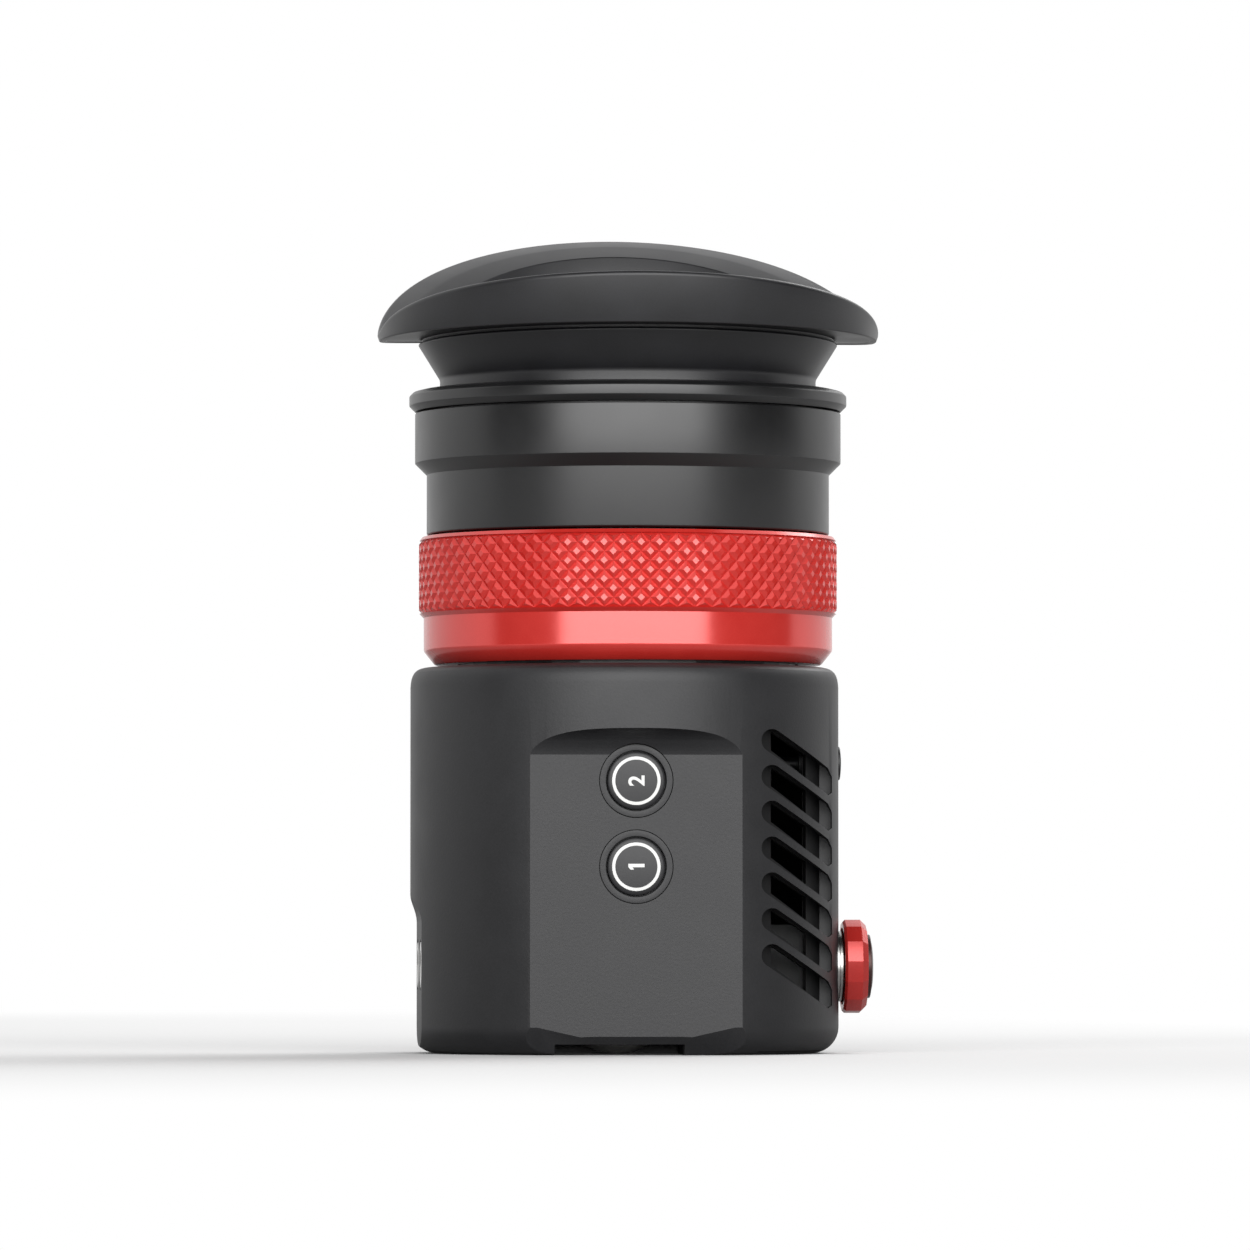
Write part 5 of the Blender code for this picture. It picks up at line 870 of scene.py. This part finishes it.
def makeDial():
    d, place = dial, (0, 0, viewfinder["dialHeight"])
    key = lathe("sideKey", sideKey["profile"], (0, 0, viewfinder["sideKeyHeight"]), 'X', 64)
    finishPiece(key, "side_push_key", mouldedKey, ["side_key"])
    start, end, radius = d["start"], d["start"] + d["thick"], d["radius"]
    wheel = lathe("jogWheel", [(0, start), (radius - d["innerBevel"], start), (radius, start + d["innerBevel"]),
                  (radius, end - d["outerBevel"]), (radius - d["outerBevel"], end), (0, end)],
                  place, 'X', d["facets"])
    activate(wheel)
    setMode('EDIT')
    selectAll()
    bpy.ops.transform.rotate(value=d["turn"], orient_axis='X', center_override=Vector(place) * mm)
    setMode('OBJECT')
    space, shaft, seat, web = d["nutSpace"], d["shaftBore"], d["capRadius"] + d["capGap"], d["web"]
    bore = [(0, 30), (space, 30), (space, start + web), (shaft, start + web), (shaft, end - web), (seat, end - web),
            (seat, 37), (0, 37)]
    cutWith(wheel, lathe("wheelBoreTool", bore, place, 'X'))
    bevelEdges(wheel, 0.07, angle=20)
    finishPiece(wheel, "dial", redFacets, ["jog_dial"], smooth=12)
    cap = lathe("dialCap", d["cap"], place, 'X')
    finishPiece(cap, "dial", bronzeCap, ["dial_cap"])
    nut = lathe("dialNut", d["nut"], place, 'X')
    finishPiece(nut, root, turnedSteel, ["encoder_nut"])


makeDial()
print("dial made")


# threaded inserts on the pad

padInsert = {"radius": 3.4, "bore": 1.7, "length": 3.6, "edge": 0.2, "face": 30.24, "lip": 0.45}


def makeInserts():
    p, sides = padInsert, viewfinder["insertSides"]
    low, high, radius, bore = p["face"] - p["length"], p["face"], p["radius"], p["bore"]
    profile = [(radius, low), (radius, high, p["edge"]), (bore + p["lip"], high, 0.05),
               *threadRings(bore, high - 0.4, 0.5, 0.3, 0.25), (bore, low)]
    first = lathe("padInsert1", profile, (0, sides[0], viewfinder["insertHeight"]), '-X', 64)
    second = copyPiece(first, "padInsert2", (0, sides[1] - sides[0], 0))
    finishPiece(first, root, turnedSteel, ["mount_insert_1"])
    finishPiece(second, root, turnedSteel, ["mount_insert_2"])


makeInserts()
print("inserts made")


# domed screw in the notch

baseScrew = {
    "y": -17.474, "head": 5.0, "dome": 9.3, "apex": 0.1, "edge": 0.7, "shank": 2.0, "end": 8.5, "domeSteps": 12,
}


def makeBaseScrew():
    b = baseScrew
    dome, head, shank = b["dome"], b["head"], b["shank"]
    crown = dome - math.sqrt(dome ** 2 - head ** 2)
    turns = [math.asin(head / dome) * step / b["domeSteps"] for step in range(b["domeSteps"] + 1)]
    crownLine = [(dome * math.sin(turn), b["apex"] + dome * (1 - math.cos(turn))) for turn in turns]
    top = b["apex"] + crown + b["edge"]
    screw = lathe("baseScrew", [*crownLine, (head, top, 0.1), (shank, top), (shank, b["end"], 0.3), (0, b["end"])],
                  (viewfinder["baseScrewX"], b["y"], 0))
    finishPiece(screw, root, turnedSteel, ["front_screw"])


makeBaseScrew()
print("base screw made")


# the bayonet jack on the far side: a groove round its barrel, two lugs near its mouth, and a hex nut behind

videoJack = {
    "shell": ((0, 19.51), (5.6, 19.51), (5.6, 24.5), (4.83, 24.5), (4.83, 31.2), (4.6, 31.35), (4.6, 31.9),
              (4.83, 32.05), (4.83, 39.41, 0.25), (4.05, 39.41, 0.12), (4.05, 26.2), (2.6, 26.2), (2.6, 22.5),
              (0, 22.5)),
    "lugRadius": 1.0, "lugPlace": 36.9, "lugFrom": 4.5, "lugTo": 5.6,
    "nutBore": 5.13, "nutCorner": 8.1, "nutLow": 28.11, "nutHigh": 30.51,
    "nutTurned": ((0, 27), (7.5, 27), (8.3, 28.7), (8.3, 29.9), (7.2, 30.6), (7.2, 32), (0, 32)),
}


def makeJack():
    j, place = videoJack, (xMiddle, 0, viewfinder["jackHeight"])
    jack = lathe("videoJack", j["shell"], place, 'Y')
    lugPlace = (xMiddle, j["lugPlace"], viewfinder["jackHeight"])
    for side in (-1, 1):
        start, end = sorted((side * j["lugFrom"], side * j["lugTo"]))
        joinCutter(jack, plug("jackLug", j["lugRadius"], start, end, lugPlace, 'X', 32), 'UNION')
    bevelEdges(jack, 0.05, angle=50)
    finishPiece(jack, root, turnedSteel, ["video_jack"])
    bore, corner, low, high = j["nutBore"], j["nutCorner"], j["nutLow"], j["nutHigh"]
    nut = lathe("videoJackNut", [(bore, low), (corner, low), (corner, high), (bore, high)], place, 'Y', 6)
    joinCutter(nut, lathe("nutEdgeTool", j["nutTurned"], place, 'Y'), 'INTERSECT')
    cutWith(nut, plug("nutBoreTool", bore, 27, 32, place, 'Y'))
    bevelEdges(nut, 0.06, angle=20)
    finishPiece(nut, root, turnedSteel, ["video_jack_nut"], smooth=25)


makeJack()
print("jack made")


# finishes of the pieces that stay as they are

keptFinishes = (
    (mattBlackCoat, ("front_cover",)),
    (blackAnodised, ("eyepiece_tube", "lens_cell", "lens_spacer", "heat_sink")),
    (turnedSteel, ("cover_screw_1", "cover_screw_2", "cover_screw_3", "cover_screw_4", "tube_screw_1", "tube_screw_2",
                   "tube_screw_3", "encoder_shaft", "power_socket")),
    (turnedBrass, ("cam_pin_1", "cam_pin_2", "cam_pin_3", "standoff_1", "standoff_2", "standoff_3", "standoff_4",
                   "video_jack_contact")),
    (mouldedRubber, ("friction_o_ring",)),
    (mouldedKey, ("key_switch_1", "key_switch_2", "side_switch", "encoder_body", "display_carrier", "display_panel",
                  "processor", "power_socket_insert")),
    (whiteAcetal, ("encoder_plunger", "video_jack_insulator")),
    (coatedGlass, ("field_lens", "middle_lens")),
    (blackSolderMask, ("main_board", "key_board", "side_board")),
    (polyimideFilm, ("display_flex",)),
)
for surface, names in keptFinishes:
    for name in names:
        node = frame["nodes"][name]
        node.data.materials.clear()
        node.data.materials.append(surface)
print("kept pieces finished")


# stage, lamps and camera

studio = {
    "floorSize": 8.0, "floorWhite": "#D6D6D6", "floorGlow": 0.02, "floorBounce": "#9A9A9A",
    "fadeCentre": (0, 0.2, 0), "floorFade": (0.30, 0.62),
    "frontPower": 80.0, "frontSize": (3.45, 1.70), "frontPlace": (0.0, -1.95, 0.87),
    "topPower": 13.5, "topSize": (1.2, 0.9), "topPlace": (0.5, 0.70, 1.1),
    "rearPower": 9.0, "rearSize": (0.9, 0.8), "rearPlace": (1.0, 1.2, 1.25),
    # each card's azimuth, distance, width and height
    "cards": {"leftCard": (-63, 2.4, 1.84, 2.4), "rightCard": (72.3, 2.4, 2.64, 2.4)},
    "cardBlack": (0.002, 0.002, 0.002, 1), "ceilingHeight": 2.4, "ceilingSize": 2.6,
    "roomLight": 0.30, "roomWhite": 1.0,
    "lens": 259.2, "sensor": 36.0, "clip": (0.05, 50.0),
    "cameraPlace": (-0.0823, -1.3014, 0.0163), "cameraAim": (0.0628, 0.998), "cameraTilt": math.radians(2.005),
}


def makeFloor():
    deselectAll()
    bpy.ops.mesh.primitive_grid_add(x_subdivisions=4, y_subdivisions=4, size=studio["floorSize"],
                                    location=(0, 0, -0.05 * mm))
    floor = bpy.context.object
    floor.name = "studioFloor"
    bpy.ops.object.transform_apply()
    material, tree, shader = newMaterial("whiteSweep")
    tree.nodes.remove(shader)
    # lit paper near the object, plain white further out, so that no edge shows at the horizon
    place = addNode(tree, 'TexCoord').outputs["Object"]
    away = addNode(tree, 'VectorMath', settings={"operation": 'DISTANCE'}, values={1: studio["fadeCentre"]},
                   links={0: place})
    fade = addNode(tree, 'MapRange', settings={"interpolation_type": 'SMOOTHSTEP'},
                   values={"From Min": studio["floorFade"][0], "From Max": studio["floorFade"][1]},
                   links={"Value": away.outputs["Value"]})
    paper = addNode(tree, 'BsdfDiffuse', values={"Color": srgb(studio["floorWhite"])})
    glow = addNode(tree, 'Emission', values={"Color": (1, 1, 1, 1), "Strength": studio["floorGlow"]})
    white = addNode(tree, 'Emission', values={"Color": (1, 1, 1, 1), "Strength": 1.0})
    lit = addNode(tree, 'AddShader', links={0: paper.outputs[0], 1: glow.outputs[0]})
    # greyer for the light it throws back up, so that undersides stay dark as in the photo
    bounce = addNode(tree, 'BsdfDiffuse', values={"Color": srgb(studio["floorBounce"])})
    seen = addNode(tree, 'LightPath').outputs["Is Camera Ray"]
    near = addNode(tree, 'MixShader', links={0: seen, 1: bounce.outputs[0], 2: lit.outputs[0]})
    share = addNode(tree, 'Math', settings={"operation": 'MULTIPLY'},
                    links={0: fade.outputs["Result"], 1: directRay(tree)})
    sheet = addNode(tree, 'MixShader', links={0: share.outputs[0], 1: near.outputs[0], 2: white.outputs[0]})
    # nothing shows from below, so that the underside can be looked at
    below = addNode(tree, 'NewGeometry').outputs["Backfacing"]
    clear = addNode(tree, 'BsdfTransparent')
    mix = addNode(tree, 'MixShader', links={0: below, 1: sheet.outputs[0], 2: clear.outputs[0]})
    tree.links.new(mix.outputs[0], tree.nodes["Material Output"].inputs["Surface"])
    floor.data.materials.append(material)


def directRay(tree):
    # 1 for rays that come from the camera, from polished metal or through glass
    seen = addNode(tree, 'LightPath')
    first = addNode(tree, 'Math', settings={"operation": 'MAXIMUM'},
                    links={0: seen.outputs["Is Camera Ray"], 1: seen.outputs["Is Glossy Ray"]})
    return addNode(tree, 'Math', settings={"operation": 'MAXIMUM'},
                   links={0: first.outputs[0], 1: seen.outputs["Is Transmission Ray"]}).outputs[0]


def addCard(name, place, size, turn, material):
    # a black card that only shows in reflections
    deselectAll()
    bpy.ops.mesh.primitive_plane_add(size=1, location=place, rotation=turn)
    card = bpy.context.object
    card.name = name
    bpy.ops.transform.resize(value=(size[0], size[1], 1), orient_type='LOCAL')
    bpy.ops.object.transform_apply()
    card.data.materials.append(material)
    card.visible_camera = card.visible_diffuse = card.visible_shadow = card.visible_transmission = False


def makeCards():
    material, tree, shader = newMaterial("blackVelvet")
    setShader(shader, colour=studio["cardBlack"], rough=1.0, gloss=0.0)
    for name, (azimuth, distance, width, height) in studio["cards"].items():
        turn = math.radians(azimuth)
        place = (distance * math.sin(turn), -distance * math.cos(turn), height / 2)
        addCard(name, place, (width, height), (math.pi / 2, 0, turn), material)
    size = studio["ceilingSize"]
    addCard("ceilingCard", (0, 0, studio["ceilingHeight"]), (size, size), (0, 0, 0), material)


def addLamp(name, place, size, power, target=(0, 0, 0.06)):
    lamp = bpy.data.lights.new(name, 'AREA')
    lamp.shape, lamp.size, lamp.size_y, lamp.energy = 'RECTANGLE', size[0], size[1], power
    thing = bpy.data.objects.new(name, lamp)
    bpy.context.scene.collection.objects.link(thing)
    thing.location = place
    thing.rotation_euler = (Vector(target) - Vector(place)).to_track_quat('-Z', 'Y').to_euler()
    return thing


def makeStudio():
    makeFloor()
    makeCards()
    front = studio["frontPlace"]
    addLamp("frontSoftbox", front, studio["frontSize"], studio["frontPower"], (front[0], 0, front[2]))
    addLamp("topSoftbox", studio["topPlace"], studio["topSize"], studio["topPower"]).visible_glossy = False
    addLamp("rearSoftbox", studio["rearPlace"], studio["rearSize"], studio["rearPower"])
    world = bpy.data.worlds.new("studioRoom")
    bpy.context.scene.world = world
    world.use_nodes = True
    tree = world.node_tree
    tree.nodes.clear()
    room = addNode(tree, 'Background', values={"Color": (1, 1, 1, 1), "Strength": studio["roomLight"]})
    white = addNode(tree, 'Background', values={"Color": (1, 1, 1, 1), "Strength": studio["roomWhite"]})
    mix = addNode(tree, 'MixShader', links={0: directRay(tree), 1: room.outputs[0], 2: white.outputs[0]})
    addNode(tree, 'OutputWorld', links={"Surface": mix.outputs[0]})
    lens = bpy.data.cameras.new("photoCamera")
    lens.lens, lens.sensor_width = studio["lens"], studio["sensor"]
    lens.clip_start, lens.clip_end = studio["clip"]
    camera = bpy.data.objects.new("photoCamera", lens)
    bpy.context.scene.collection.objects.link(camera)
    camera.location = studio["cameraPlace"]
    aim = Vector((*studio["cameraAim"], math.tan(studio["cameraTilt"])))
    camera.rotation_euler = aim.to_track_quat('-Z', 'Y').to_euler()
    bpy.context.scene.camera = camera
    bpy.context.scene.view_settings.view_transform = 'Standard'


makeStudio()
print("studio set")
